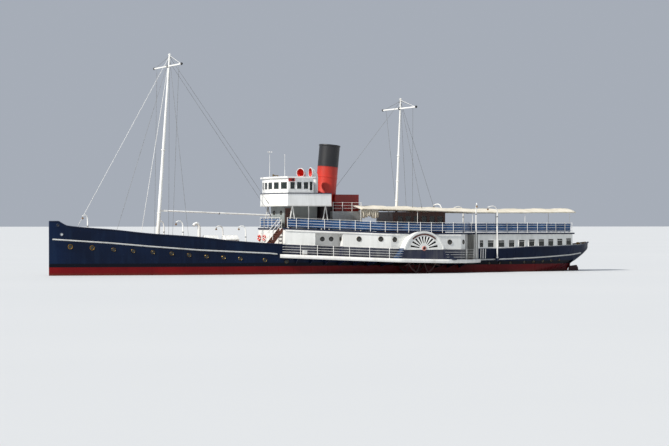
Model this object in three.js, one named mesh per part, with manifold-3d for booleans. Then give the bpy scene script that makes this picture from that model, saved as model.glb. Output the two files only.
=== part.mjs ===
// Excursion paddle steamer, built as a 1:2 scale model.
//
// Every length below is in metres of the real ship, which is how its drawings are dimensioned.
// The finished group is scaled by MODEL_MM_PER_SHIP_METRE, so it comes out in millimetres at 1:2.
// +X is forward, +Y is port and +Z is up. The origin is on the waterline, on the centreline,
// halfway along the ship.

import * as THREE from "three";
import { mergeVertices } from "three/addons/utils/BufferGeometryUtils.js";
import Module from "manifold-3d";

const wasm = await Module();
wasm.setup();

// Driving dimensions

const MODEL_MM_PER_SHIP_METRE = 500;
const GAP = 0.0007;

const STEM_X = 30.9;
const STERN_X = -31.04;
const PLATING = 0.1;
const BULWARK_HEIGHT = 1.1;
const HOUSE_FRONT_X = 7.0;
const HOUSE_AFT_X = -15.4;
const WALL = 0.08;
const HOUSE_WIDE_Y = 5.9;
const SPONSON_WIDE_Y = 7.0;
const SPONSON_DEPTH = 0.32;
const PROMENADE_THICKNESS = 0.12;
const PROMENADE_AFT_X = -27.85;
const RAIL_HEIGHT = 1.07;
const RAIL_MIDDLE = 0.5;
const RAIL_BAR = 0.04;
const RAIL_POST = 0.06;

const PADDLE_X = -7.19;
const SHAFT_Z = 1.65;
const SHAFT_RADIUS = 0.15;
const WHEEL_RADIUS = 2.25;
const WHEEL_INNER_Y = 3.95;
const WHEEL_OUTER_Y = 6.6;
const FLOAT_COUNT = 8;
const BOX_ARCH_RADIUS = 2.33;
const BOX_ARCH_Z = 2.0;
const FAN_HUB_Z = 2.6;
const FAN_SLOTS = 10;

const BRIDGE_DECK_Z = 7.08;
const BRIDGE_AFT_X = 1.79;
const BRIDGE_CORNER_X = 6.74;
const BRIDGE_BOW = 0.55;
const BRIDGE_HALF_Y = 3.6;
const BULWARK_TOP_Z = 8.28;
const WHEELHOUSE_AFT_X = 3.74;
const WHEELHOUSE_HALF_Y = 3.4;
const ROOF_Z = 9.85;

const FUNNEL_RADIUS = 1.075;
const FUNNEL_TOP_Z = 13.4;
const FUNNEL_FOOT_Z = 6.95;
const FUNNEL_RAKE = THREE.MathUtils.degToRad(5.5);
const FUNNEL_FOOT_X = 0.97;

const AWNING_FRONT_X = -1.6;
const AWNING_AFT_X = -28.2;

// Height of the awning's edge by station. Columns: station x, height.
const AWNING_EDGE = [
  [AWNING_FRONT_X, 6.72], [-8.2, 6.6], [-14.75, 6.42], [-18.0, 6.38], [AWNING_AFT_X, 6.44],
];

// Hull sections from the stem to the counter. Columns: station x, keel height, half-beam at the
// turn of the side, height of that turn, half-beam at the rail, rail height, fullness of the bottom.
const HULL_SECTIONS = [
  [STEM_X, -1.0, 0.05, 0.3, 0.09, 5.39, 1.3],
  [30.1, -1.28, 0.25, 0.3, 0.42, 5.39, 1.3],
  [29.3, -1.32, 0.42, 0.3, 0.72, 4.95, 1.4],
  [27.4, -1.35, 0.85, 0.3, 1.25, 4.74, 1.6],
  [25.1, -1.35, 1.35, 0.3, 1.8, 4.56, 1.8],
  [21.26, -1.35, 2.2, 0.3, 2.65, 4.15, 2.2],
  [16.2, -1.35, 3.05, 0.3, 3.3, 3.79, 2.8],
  [12.6, -1.35, 3.4, 0.3, 3.5, 3.4, 3.6],
  [7.0, -1.35, 3.6, 0.3, 3.65, 3.05, 4.5],
  [-3.9, -1.35, 3.65, 0.3, 3.67, 2.67, 5.0],
  [-13.0, -1.35, 3.65, 0.3, 3.67, 2.5, 4.5],
  [-18.0, -1.35, 3.5, 0.3, 3.65, 2.48, 3.2],
  [-22.3, -1.35, 3.0, 0.4, 3.4, 2.68, 2.0],
  [-24.8, -1.35, 2.5, 0.6, 3.0, 2.7, 1.4],
  [-26.35, -1.35, 2.1, 0.8, 2.68, 2.74, 1.0],
  [-27.8, -1.33, 1.65, 1.1, 2.3, 2.79, 0.7],
  [-28.3, -1.3, 1.55, 1.3, 2.1, 2.81, 0.55],
  [-28.42, 0.6, 1.5, 1.4, 2.05, 2.81, 1.5],
  [-29.2, 1.05, 1.15, 1.7, 1.65, 2.84, 1.6],
  [-30.2, 1.7, 0.75, 2.15, 1.1, 2.98, 1.6],
  [-30.8, 2.15, 0.4, 2.5, 0.6, 3.1, 1.6],
  [STERN_X, 2.35, 0.12, 2.6, 0.2, 3.14, 1.6],
];

// Deck heights by station. Columns: station x, height.
const MAIN_DECK = [
  [7.7, 2.02], [7.0, 2.0], [-0.3, 1.69], [-3.9, 1.55], [-8.9, 1.43], [-14.0, 1.36], [-28.0, 1.5],
];
const PROMENADE_DECK = [[7.0, 4.7], [-3.5, 4.27], [-9.0, 4.18], [PROMENADE_AFT_X, 4.17]];

// Half-breadth of the promenade deck by station. Columns: station x, half-breadth.
const PROMENADE_EDGE = [
  [7.0, 3.45], [-3.9, HOUSE_WIDE_Y + 0.05], [-12.2, HOUSE_WIDE_Y + 0.05], [-14.4, 3.72], [-18.0, 3.72],
  [-22.3, 3.47], [-24.8, 3.1], [PROMENADE_AFT_X, 2.5],
];

// Half-breadth of the sponson by station. Columns: station x, half-breadth.
const SPONSON_EDGE = [
  [7.63, 3.75], [-4.5, SPONSON_WIDE_Y], [-10.05, SPONSON_WIDE_Y], [-12.6, 5.9], [-14.4, 4.5], [-15.45, 3.8],
];

// Colours with roughness and metalness, as painted.
const PAINT = {
  navy: ["#141e46", 0.4, 0.1],
  white: ["#e9ebec", 0.5, 0.0],
  grey: ["#a7aeb0", 0.6, 0.0],
  red: ["#c93a2c", 0.4, 0.0],
  darkRed: ["#78140c", 0.5, 0.0],
  black: ["#1d1f22", 0.5, 0.0],
  brown: ["#4a2a1a", 0.6, 0.0],
  teak: ["#8a6a48", 0.8, 0.0],
  canvasBlue: ["#2d5488", 0.9, 0.0],
  canvasCream: ["#e6dfc8", 0.9, 0.0],
  steel: ["#77797c", 0.5, 0.8],
};

const ship = new THREE.Group();
ship.scale.setScalar(MODEL_MM_PER_SHIP_METRE);

// Tools for solids

function solid(geometry) {
  const bare = geometry.clone();
  bare.deleteAttribute("normal");
  bare.deleteAttribute("uv");
  const merged = mergeVertices(bare, 1e-6);
  return new wasm.Manifold(new wasm.Mesh({
    numProp: 3,
    vertProperties: new Float32Array(merged.attributes.position.array),
    triVerts: new Uint32Array(merged.index.array),
  }));
}

function geometryOf(body) {
  const mesh = body.getMesh();
  const geometry = new THREE.BufferGeometry();
  geometry.setAttribute("position", new THREE.BufferAttribute(mesh.vertProperties, 3));
  geometry.setIndex(new THREE.BufferAttribute(mesh.triVerts, 1));
  return geometry;
}

// Radius of a round hole with the given number of sides that clears a turning pin by the gap.
function holeFor(radius, sides) {
  return (radius + GAP) / Math.cos(Math.PI / sides);
}

function join(bodies) {
  return bodies.reduce((whole, body) => whole.add(body));
}

function cut(body, tools) {
  return tools.reduce((rest, tool) => rest.subtract(tool), body);
}

function addPiece(name, body, paint) {
  const [color, roughness, metalness] = PAINT[paint];
  const material = new THREE.MeshStandardMaterial({ color, roughness, metalness });
  const piece = new THREE.Mesh(geometryOf(body), material);
  piece.name = name;
  ship.add(piece);
}

// The same body on the starboard side.
function mirrored(body) {
  const geometry = geometryOf(body);
  geometry.scale(1, -1, 1);
  const order = geometry.index.array;
  for (let corner = 0; corner < order.length; corner += 3) {
    [order[corner + 1], order[corner + 2]] = [order[corner + 2], order[corner + 1]];
  }
  return solid(geometry);
}

function block(x0, x1, y0, y1, z0, z1) {
  const geometry = new THREE.BoxGeometry(x1 - x0, y1 - y0, z1 - z0);
  return solid(geometry.translate((x0 + x1) / 2, (y0 + y1) / 2, (z0 + z1) / 2));
}

function outline(points) {
  return new THREE.Shape(points.map(([a, b]) => new THREE.Vector2(a, b)));
}

// A plan outline of [x, y] points raised between two heights.
function planPrism(points, z0, z1) {
  const geometry = new THREE.ExtrudeGeometry(outline(points), { depth: z1 - z0, bevelEnabled: false });
  return solid(geometry.translate(0, 0, z0));
}

// A side outline, either a shape or [x, z] points, carried between two half-breadths.
function sidePrism(shape, y0, y1) {
  const face = Array.isArray(shape) ? outline(shape) : shape;
  const depth = y1 - y0;
  const geometry = new THREE.ExtrudeGeometry(face, { depth, bevelEnabled: false, curveSegments: 14 });
  return solid(geometry.rotateX(Math.PI / 2).translate(0, y1, 0));
}

function rod(from, to, radius, sides = 8, farRadius = radius) {
  const start = new THREE.Vector3(...from);
  const end = new THREE.Vector3(...to);
  const along = end.clone().sub(start);
  const geometry = new THREE.CylinderGeometry(farRadius, radius, along.length(), sides);
  const upright = new THREE.Vector3(0, 1, 0);
  const turn = new THREE.Quaternion().setFromUnitVectors(upright, along.clone().normalize());
  geometry.applyQuaternion(turn);
  return solid(geometry.translate(...start.add(end).multiplyScalar(0.5)));
}

// A round bar along a smooth curve through the points.
function bentRod(points, radius, sides, steps) {
  const curve = new THREE.CatmullRomCurve3(points.map((point) => new THREE.Vector3(...point)));
  const section = new THREE.Shape();
  for (let side = 0; side < sides; side += 1) {
    const angle = (2 * Math.PI * side) / sides;
    const corner = [radius * Math.cos(angle), radius * Math.sin(angle)];
    if (side === 0) section.moveTo(...corner);
    else section.lineTo(...corner);
  }
  return solid(new THREE.ExtrudeGeometry(section, { steps, extrudePath: curve, bevelEnabled: false }));
}

// Triangles that close one end ring. The edge from point 0 to point 1 runs forward in them, or back.
function capTriangles(ring, forward) {
  const spanX = Math.max(...ring.map((p) => p[0])) - Math.min(...ring.map((p) => p[0]));
  const flatten = spanX < 1e-6 ? ([, y, z]) => [y, z] : ([x, y, z]) => [x + y * 1e-3, z];
  const flat = ring.map((point) => new THREE.Vector2(...flatten(point)));
  const faces = THREE.ShapeUtils.triangulateShape(flat, []);
  const isFirstEdge = ([from, to]) => from === 0 && to === 1;
  const runsForward = faces.some(([a, b, c]) => [[a, b], [b, c], [c, a]].some(isFirstEdge));
  return faces.map(([a, b, c]) => (runsForward === forward ? [a, b, c] : [a, c, b]));
}

// A closed body through rings of [x, y, z] points, all with the same number of points.
function loft(rings) {
  const count = rings[0].length;
  const last = (rings.length - 1) * count;
  const order = [];
  for (let start = 0; start < last; start += count) {
    for (let point = 0; point < count; point += 1) {
      const a = start + point;
      const b = start + ((point + 1) % count);
      order.push(a, b, b + count, a, b + count, a + count);
    }
  }
  capTriangles(rings[0], false).forEach((face) => order.push(...face));
  capTriangles(rings.at(-1), true).forEach((face) => order.push(...face.map((corner) => corner + last)));
  const geometry = new THREE.BufferGeometry();
  geometry.setAttribute("position", new THREE.Float32BufferAttribute(rings.flat(2), 3));
  geometry.setIndex(signedVolume(rings.flat(), order) < 0 ? order.slice().reverse() : order);
  return solid(geometry);
}

function signedVolume(points, order) {
  let volume = 0;
  const corners = [new THREE.Vector3(), new THREE.Vector3(), new THREE.Vector3()];
  for (let face = 0; face < order.length; face += 3) {
    corners.forEach((corner, place) => corner.set(...points[order[face + place]]));
    volume += corners[0].dot(corners[1].clone().cross(corners[2]));
  }
  return volume;
}

// Straight-line reading of a table of [x, value] rows that runs from forward to aft.
function readAt(table, x) {
  const after = table.findIndex((row) => row[0] <= x);
  if (after === 0) return table[0][1];
  if (after < 0) return table.at(-1)[1];
  const [x0, v0] = table[after - 1];
  const [x1, v1] = table[after];
  return v0 + ((v1 - v0) * (x - x0)) / (x1 - x0);
}

const mainDeckZ = (x) => readAt(MAIN_DECK, x);
const promenadeZ = (x) => readAt(PROMENADE_DECK, x);
const promenadeUnderZ = (x) => promenadeZ(x) - PROMENADE_THICKNESS;
const promenadeEdgeY = (x) => readAt(PROMENADE_EDGE, x);
const railTable = (column) => HULL_SECTIONS.map((row) => [row[0], row[column]]);
const hullRailZ = (x) => readAt(railTable(5), x);
const hullRailY = (x) => readAt(railTable(4), x);
const foreDeckZ = (x) => hullRailZ(x) - BULWARK_HEIGHT;

// Stations between two ends, with every break of the given tables among them.
function stations(front, aft, tables) {
  const breaks = tables.flat().map((row) => row[0]).filter((x) => x < front - 0.01 && x > aft + 0.01);
  return [...new Set([front, ...breaks, aft])].sort((a, b) => b - a);
}

// A path of [x, y] points with extra points wherever a table breaks.
function refine(path, tables) {
  const fine = [path[0]];
  for (let leg = 0; leg + 1 < path.length; leg += 1) {
    const [x0, y0] = path[leg];
    const [x1, y1] = path[leg + 1];
    const low = Math.min(x0, x1) + 0.02;
    const high = Math.max(x0, x1) - 0.02;
    const between = tables.flat().map((row) => row[0]).filter((x) => x > low && x < high);
    const ordered = [...new Set(between)].sort((a, b) => (x1 > x0 ? a - b : b - a));
    ordered.forEach((x) => fine.push([x, y0 + ((y1 - y0) * (x - x0)) / (x1 - x0)]));
    fine.push(path[leg + 1]);
  }
  return fine;
}

// An upright strip of even thickness along a path, mitred at its corners.
// bottom and top are heights as functions of x, and shift moves the strip to the left of the path.
function wallAlong(path, thickness, bottom, top, shift = 0) {
  const directions = path.slice(1).map(([x, y], leg) => {
    const step = new THREE.Vector2(x - path[leg][0], y - path[leg][1]);
    return step.normalize();
  });
  const rings = path.map(([x, y], place) => {
    const before = directions[Math.max(place - 1, 0)];
    const after = directions[Math.min(place, directions.length - 1)];
    const side = new THREE.Vector2(-before.y - after.y, before.x + after.x).normalize();
    const mitre = 1 / (side.x * -before.y + side.y * before.x);
    const [left, right] = [shift + thickness / 2, shift - thickness / 2].map((reach) => [
      x + side.x * reach * mitre, y + side.y * reach * mitre,
    ]);
    return [[...left, bottom(x)], [...right, bottom(x)], [...right, top(x)], [...left, top(x)]];
  });
  return loft(rings);
}

// A deck plate across the ship between two stations.
function deckPlate(front, aft, edgeTable, heightTable, thickness) {
  return loft(stations(front, aft, [edgeTable, heightTable]).map((x) => {
    const y = readAt(edgeTable, x);
    const z = readAt(heightTable, x);
    return [[x, y, z], [x, -y, z], [x, -y, z - thickness], [x, y, z - thickness]];
  }));
}

// All the room between a surface across the ship and a far level.
function roomTo(far, front, aft, heightAt, tables) {
  return loft(stations(front, aft, tables).map((x) => {
    const z = heightAt(x);
    return [[x, 12, z], [x, -12, z], [x, -12, far], [x, 12, far]];
  }));
}

const roomOver = (front, aft, heightAt, tables) => roomTo(20, front, aft, heightAt, tables);

// All the room under a deck, up to the gap above it.
const roomBy = (front, aft, heightAt, tables) => roomTo(-4, front, aft, (x) => heightAt(x) + GAP, tables);

const underMainDeck = roomBy(8, -28.5, mainDeckZ, [MAIN_DECK]);
const underForeDeck = roomBy(30.2, HOUSE_FRONT_X - 0.5, foreDeckZ, [railTable(4)]);
const underPromenade = roomBy(8, -28.5, promenadeZ, [PROMENADE_DECK]);
const overPromenadeUnderside = roomOver(8, -28.5, (x) => promenadeUnderZ(x) - GAP, [PROMENADE_DECK]);
const betweenDecks = (body) => cut(body, [underMainDeck, overPromenadeUnderside]);

// Posts and bars of an open rail along a path. Heights are above the given deck.
function railAlong(path, deckZ, barHeights, postSpacing) {
  const bars = barHeights.map((height) => (
    wallAlong(path, RAIL_BAR, (x) => deckZ(x) + height - RAIL_BAR, (x) => deckZ(x) + height)
  ));
  const posts = [];
  const top = Math.max(...barHeights);
  for (let leg = 0; leg + 1 < path.length; leg += 1) {
    const start = new THREE.Vector2(...path[leg]);
    const end = new THREE.Vector2(...path[leg + 1]);
    const along = end.clone().sub(start).normalize().multiplyScalar(RAIL_POST / 2);
    const count = Math.max(1, Math.round(start.distanceTo(end) / postSpacing));
    for (let post = leg === 0 ? 0 : 1; post <= count; post += 1) {
      const foot = start.clone().lerp(end, post / count);
      if (post === 0) foot.add(along);
      if (post === count) foot.sub(along);
      const ends = [foot.clone().sub(along).toArray(), foot.clone().add(along).toArray()];
      posts.push(wallAlong(ends, RAIL_POST, (x) => deckZ(x) - 0.05, (x) => deckZ(x) + top - 0.01));
    }
  }
  return join([...bars, ...posts]);
}

// Hull

// One side of a section from the keel up, as [y, z] points.
function halfSection([, keelZ, turnY, turnZ, railY, railZ, fullness]) {
  const bottom = [];
  const bottomSteps = 6;
  for (let step = 0; step <= bottomSteps; step += 1) {
    const angle = (Math.PI / 2) * (step / bottomSteps);
    const y = turnY * Math.sin(angle) ** (2 / fullness);
    const z = turnZ - (turnZ - keelZ) * Math.cos(angle) ** (2 / fullness);
    bottom.push([y, z]);
  }
  const topside = [0.35, 0.7, 1].map((rise) => [
    turnY + (railY - turnY) * rise ** 1.4,
    turnZ + (railZ - turnZ) * rise,
  ]);
  return [...bottom, ...topside];
}

function hullBody(grow) {
  return loft(HULL_SECTIONS.map((row) => {
    const half = halfSection(row).map(([y, z]) => [row[0], y + grow, z]);
    const other = half.slice(1).reverse().map(([x, y, z]) => [x, -y, z]);
    half[0][1] = 0;
    return [...half, ...other];
  }));
}

// Half-breadth of the hull at a station and a height.
function hullY(x, z) {
  const after = Math.max(1, HULL_SECTIONS.findIndex((row) => row[0] <= x));
  const [front, aft] = [HULL_SECTIONS[after - 1], HULL_SECTIONS[after]];
  const share = (x - front[0]) / (aft[0] - front[0]);
  const mixed = front.map((value, column) => value + (aft[column] - value) * share);
  const half = halfSection(mixed);
  const above = Math.max(1, half.findIndex((point) => point[1] >= z));
  const [[y0, z0], [y1, z1]] = [half[above - 1], half[above]];
  return y0 + ((y1 - y0) * (z - z0)) / (z1 - z0);
}

// The open space inside the bulwarks, from a floor up past the rail.
function well(front, aft, floor) {
  return loft(stations(front, aft, [railTable(4), MAIN_DECK]).map((x) => {
    const low = Math.max(0.04, hullY(x, floor(x)) - PLATING);
    const high = Math.max(0.05, hullRailY(x) - PLATING);
    const z = floor(x);
    const top = hullRailZ(x) + 0.002;
    return [[x, low, z], [x, high, top], [x, high, 9], [x, -high, 9], [x, -high, top], [x, -low, z]];
  }));
}

const FORE_WELL_FRONT_X = 29.9;
const SALOON_AFT_X = -27.7;
const STERN_DECK_Z = 1.9;
const RUDDER_X = -28.75;
const RUDDER_STOCK_RADIUS = 0.09;
const PIT = { x0: -9.7, x1: 4.2, y: 2.3, z: -0.9 };

// Davits. Columns: name, foot x, y, height of the bend, reach along x, reach along y.
const DAVITS = [
  ["davit_fore_1", 17.8, 2.75, 5.5, 0.75, 0.0],
  ["davit_fore_2", 11.15, 3.1, 5.0, 0.75, 0.0],
  ["davit_aft_1", -14.93, 3.94, 7.37, 0.45, 1.0],
  ["davit_aft_2", -17.55, 3.84, 7.1, 1.15, 0.0],
];
const ANCHOR_DAVIT = ["anchor_davit", 27.2, 0.9, 6.1, 0.7, 0.55];
const DAVIT_STEP = {
  radius: 0.17, height: 0.07, halfWidth: 0.12, length: 0.4, depth: 0.3,
  sponsonFront: -14, sponsonAft: -15.4,
};

// Level top of the round step that a davit turns on.
function davitStepZ(x) {
  return (x > HOUSE_FRONT_X ? foreDeckZ(x) : mainDeckZ(x)) + DAVIT_STEP.height;
}

const stepOnSponson = ([, x]) => x < DAVIT_STEP.sponsonFront && x > DAVIT_STEP.sponsonAft;
const stepOutsideHull = (davit) => davit[2] > hullRailY(davit[1]) && !stepOnSponson(davit);

// The step of a davit with the arm that holds it out from the hull, or with grow set, the room they need.
function davitStep(davit, grow = 0) {
  const [, x, y] = davit;
  const { radius, halfWidth, length, depth } = DAVIT_STEP;
  const top = davitStepZ(x) + grow;
  const round = rod([x, y, top - 0.22 - 2 * grow], [x, y, top], radius + grow, 12);
  const reach = halfWidth + grow;
  const arm = block(x - reach, x + reach, y - length - grow, y, top - depth - 2 * grow, top);
  return stepOutsideHull(davit) ? join([round, arm]) : round;
}

const hullDavits = DAVITS.filter((davit) => !stepOnSponson(davit));
const sponsonDavitSteps = DAVITS.filter(stepOnSponson).map((davit) => davitStep(davit));
const hullStepRooms = [ANCHOR_DAVIT, ...hullDavits].map((davit) => davitStep(davit, GAP));

// The hull stops at the decks, and the bulwarks stand on it with the usual gap.
const BULKHEAD_MID_X = SALOON_AFT_X - PLATING / 2;
const onDecks = (lift) => [
  roomOver(FORE_WELL_FRONT_X, HOUSE_FRONT_X, (x) => foreDeckZ(x) + lift, [railTable(4)]),
  roomOver(HOUSE_FRONT_X, BULKHEAD_MID_X, (x) => mainDeckZ(x) + lift, [MAIN_DECK]),
  roomOver(BULKHEAD_MID_X, STERN_X - 0.5, () => STERN_DECK_Z + lift, []),
];

function makeHull() {
  const shaftBlocks = [1, -1].map((side) => {
    const [y0, y1] = [side * 3.0, side * 3.4].sort((a, b) => a - b);
    return block(PADDLE_X - 0.35, PADDLE_X + 0.35, y0, y1, 1.3, SHAFT_Z + 0.4);
  });
  const portSteps = hullDavits.map((davit) => davitStep(davit));
  const steps = [...portSteps, ...portSteps.map(mirrored), davitStep(ANCHOR_DAVIT)];
  const hull = cut(hullBody(0), [...onDecks(0), block(PIT.x0, PIT.x1, -PIT.y, PIT.y, PIT.z, 3)]);
  return cut(join([hull, ...shaftBlocks, ...steps]), [
    rod([PADDLE_X, -3.6, SHAFT_Z], [PADDLE_X, 3.6, SHAFT_Z], holeFor(SHAFT_RADIUS, 24), 24),
    rod([RUDDER_X, 0, -0.5], [RUDDER_X, 0, 3], holeFor(RUDDER_STOCK_RADIUS, 16), 16),
  ]);
}

addPiece("hull", makeHull(), "navy");

function makeForeBulwark() {
  return cut(hullBody(0), [
    roomBy(FORE_WELL_FRONT_X, HOUSE_FRONT_X - 1, foreDeckZ, [railTable(4)]),
    block(FORE_WELL_FRONT_X - GAP, 40, -9, 9, -9, 9),
    block(-40, HOUSE_FRONT_X, -9, 9, -9, 9),
    well(FORE_WELL_FRONT_X - PLATING, HOUSE_FRONT_X - 0.01, foreDeckZ),
    ...hullStepRooms,
    ...hullStepRooms.map(mirrored),
  ]);
}

function makeAftBulwark() {
  return cut(hullBody(0), [
    block(HOUSE_AFT_X, 40, -9, 9, -9, 9),
    roomBy(HOUSE_AFT_X + 1, BULKHEAD_MID_X + GAP, mainDeckZ, [MAIN_DECK]),
    roomBy(BULKHEAD_MID_X + 2 * GAP, STERN_X - 0.5, () => STERN_DECK_Z, []),
    well(HOUSE_AFT_X + 0.01, SALOON_AFT_X, mainDeckZ),
    well(SALOON_AFT_X - PLATING, STERN_X + 0.84, () => STERN_DECK_Z),
    ...hullStepRooms,
    ...hullStepRooms.map(mirrored),
  ]);
}

addPiece("fore_bulwark", makeForeBulwark(), "navy");
addPiece("aft_bulwark", makeAftBulwark(), "navy");

// Engine and boiler, as plain blocks in the hold
addPiece("engine", block(-9.5, -3.2, -1.7, 1.7, PIT.z + GAP, 1.15), "grey");
addPiece("boiler", block(-1.6, 3.6, -1.9, 1.9, PIT.z + GAP, 1.35), "black");

// Rudder on its vertical stock
function makeRudder() {
  const blade = sidePrism([
    [RUDDER_X + 0.08, -1.22], [RUDDER_X + 0.08, 0.5], [RUDDER_X - 0.9, 0.62], [RUDDER_X - 1.1, 0.35],
    [RUDDER_X - 1.15, -0.7], [RUDDER_X - 0.9, -1.22],
  ], -0.06, 0.06);
  const stock = rod([RUDDER_X, 0, -1.22], [RUDDER_X, 0, STERN_DECK_Z + 0.05], RUDDER_STOCK_RADIUS, 12);
  return join([blade, stock]);
}

addPiece("rudder", makeRudder(), "black");

// Sponsons: the side decks that carry the houses and the outer shaft bearings
function makeSponson() {
  const inner = (x) => hullY(x, mainDeckZ(x)) - 0.3;
  const deck = loft(stations(7.63, -15.45, [SPONSON_EDGE, MAIN_DECK]).map((x) => {
    const top = mainDeckZ(x);
    const outer = readAt(SPONSON_EDGE, x);
    const under = top - SPONSON_DEPTH;
    return [[x, outer, top], [x, inner(x), top], [x, inner(x), under], [x, outer, under]];
  }));
  const wheelWell = block(PADDLE_X - 2.42, PADDLE_X + 2.42, 2, 6.72, -1, 3);
  const bearing = block(PADDLE_X - 0.3, PADDLE_X + 0.3, 6.66, 6.9, 1.2, SHAFT_Z + 0.32);
  const bore = rod([PADDLE_X, 6, SHAFT_Z], [PADDLE_X, 7, SHAFT_Z], holeFor(SHAFT_RADIUS, 24), 24);
  return join([cut(deck, [wheelWell]), bearing, ...sponsonDavitSteps]).subtract(bore);
}

const hullRoom = hullBody(GAP);
addPiece("sponson_port", cut(makeSponson(), [hullRoom]), "navy");
addPiece("sponson_starboard", cut(mirrored(makeSponson()), [hullRoom]), "navy");

// Paddle wheels and their shaft
const SHAFT_ENDS = [-6.85, 6.85].map((y) => [PADDLE_X, y, SHAFT_Z]);
addPiece("paddle_shaft", rod(...SHAFT_ENDS, SHAFT_RADIUS, 20), "steel");

function annulus(y0, y1, inner, outer, sides) {
  const ring = rod([PADDLE_X, y0, SHAFT_Z], [PADDLE_X, y1, SHAFT_Z], outer, sides);
  return ring.subtract(rod([PADDLE_X, y0 - 1, SHAFT_Z], [PADDLE_X, y1 + 1, SHAFT_Z], inner, sides));
}

function makePaddleWheel() {
  const pieces = [rod([PADDLE_X, WHEEL_INNER_Y, SHAFT_Z], [PADDLE_X, WHEEL_OUTER_Y, SHAFT_Z], 0.34, 16)];
  const turned = (geometry, blade) => {
    const angle = (2 * Math.PI * (blade + 0.5)) / FLOAT_COUNT;
    return solid(geometry.rotateY(-angle).translate(PADDLE_X, 0, SHAFT_Z));
  };
  for (const y of [WHEEL_INNER_Y + 0.1, WHEEL_OUTER_Y - 0.1]) {
    pieces.push(annulus(y - 0.05, y + 0.05, 1.6, 1.72, 24));
    for (let blade = 0; blade < FLOAT_COUNT; blade += 1) {
      const arm = new THREE.BoxGeometry(WHEEL_RADIUS - 0.3, 0.06, 0.1);
      pieces.push(turned(arm.translate(WHEEL_RADIUS / 2 - 0.05, y, 0), blade));
    }
  }
  const width = WHEEL_OUTER_Y - WHEEL_INNER_Y - 0.1;
  const middleY = (WHEEL_INNER_Y + WHEEL_OUTER_Y) / 2;
  for (let blade = 0; blade < FLOAT_COUNT; blade += 1) {
    const plank = new THREE.BoxGeometry(0.5, width, 0.06);
    pieces.push(turned(plank.translate(WHEEL_RADIUS - 0.25, middleY, 0), blade));
  }
  return cut(join(pieces), [rod([PADDLE_X, 3, SHAFT_Z], [PADDLE_X, 7, SHAFT_Z], SHAFT_RADIUS + GAP, 20)]);
}

const paddleWheel = makePaddleWheel();
addPiece("paddle_wheel_port", paddleWheel, "red");
addPiece("paddle_wheel_starboard", mirrored(paddleWheel), "red");

// Paddle boxes: a hollow half-drum over each wheel, with a slotted fan in its outer face
function boxProfile(inset) {
  const shape = new THREE.Shape();
  const radius = BOX_ARCH_RADIUS - inset;
  const baseZ = 1.0;
  const foot = 2.66 - inset;
  shape.moveTo(PADDLE_X - foot, baseZ);
  shape.lineTo(PADDLE_X + foot, baseZ);
  shape.lineTo(PADDLE_X + radius * Math.cos(0.1), BOX_ARCH_Z + radius * Math.sin(0.1));
  shape.absarc(PADDLE_X, BOX_ARCH_Z, radius, 0.1, Math.PI - 0.1, false);
  shape.lineTo(PADDLE_X - foot, baseZ);
  return shape;
}

function makePaddleBox() {
  const innerY = 3.78;
  const outerY = SPONSON_WIDE_Y - 0.02;
  const edgeY = HOUSE_WIDE_Y + 0.05 + GAP;
  const skin = 0.06;
  const under = promenadeUnderZ(PADDLE_X) - 0.03;
  const outer = sidePrism(boxProfile(0), innerY, outerY);
  const hollow = sidePrism(boxProfile(skin), innerY + skin, outerY - skin);
  const lid = block(-12, -2, 0, edgeY, under, 6);
  const hollowLid = block(-12, -2, 0, edgeY + skin, under - skin, 6);
  const slots = [];
  for (let slot = 0; slot < FAN_SLOTS; slot += 1) {
    const angle = (Math.PI * (slot + 0.5)) / FAN_SLOTS;
    const reach = 1 / Math.hypot(Math.cos(angle) / 1.6, Math.sin(angle) / 1.25);
    const [c, s] = [Math.cos(angle), Math.sin(angle)];
    const corner = (radius, half) => [PADDLE_X + radius * c - half * s, FAN_HUB_Z + radius * s + half * c];
    const ray = [corner(0.55, -0.045), corner(reach, -0.1), corner(reach, 0.1), corner(0.55, 0.045)];
    slots.push(sidePrism(ray, outerY - 0.3, outerY + 0.3));
  }
  const shaftHole = rod([PADDLE_X, 3, SHAFT_Z], [PADDLE_X, 5, SHAFT_Z], SHAFT_RADIUS + 0.02, 24);
  const bearingRoom = block(PADDLE_X - 0.36, PADDLE_X + 0.36, 6.6, 6.905, 0, SHAFT_Z + 0.36);
  return cut(outer, [lid, cut(hollow, [hollowLid]), underMainDeck, shaftHole, bearingRoom, ...slots]);
}

const paddleBox = makePaddleBox();
addPiece("paddle_box_port", paddleBox, "white");
addPiece("paddle_box_starboard", mirrored(paddleBox), "white");

// Houses on the main deck
const wallFoot = (x) => mainDeckZ(x) - 0.1;
const wallHead = (x) => promenadeUnderZ(x) + 0.1;
const DECK_TABLES = [MAIN_DECK, PROMENADE_DECK];
const boxRoom = sidePrism(boxProfile(-GAP), 3, SPONSON_WIDE_Y);
const bothBoxRooms = [boxRoom, mirrored(boxRoom)];
const WALL_INTO_BOX = 1.15;
const RECESS = { front: 3.93, aft: 1.05, depth: 0.9 };
const houseSideY = (x) => 3.42 + ((HOUSE_WIDE_Y - 3.42) * (HOUSE_FRONT_X - x)) / (HOUSE_FRONT_X + 3.9);

function makeForwardHouse() {
  const boxX = PADDLE_X + WALL_INTO_BOX;
  const side = [
    [boxX, HOUSE_WIDE_Y], [-3.9, HOUSE_WIDE_Y],
    [RECESS.aft, houseSideY(RECESS.aft)], [RECESS.aft, houseSideY(RECESS.aft) - RECESS.depth],
    [RECESS.front, houseSideY(RECESS.front) - RECESS.depth], [RECESS.front, houseSideY(RECESS.front)],
    [HOUSE_FRONT_X - 0.06, 3.42],
  ];
  const path = [...side, ...side.map(([x, y]) => [x, -y]).reverse()];
  return houseWalls(path);
}

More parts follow.
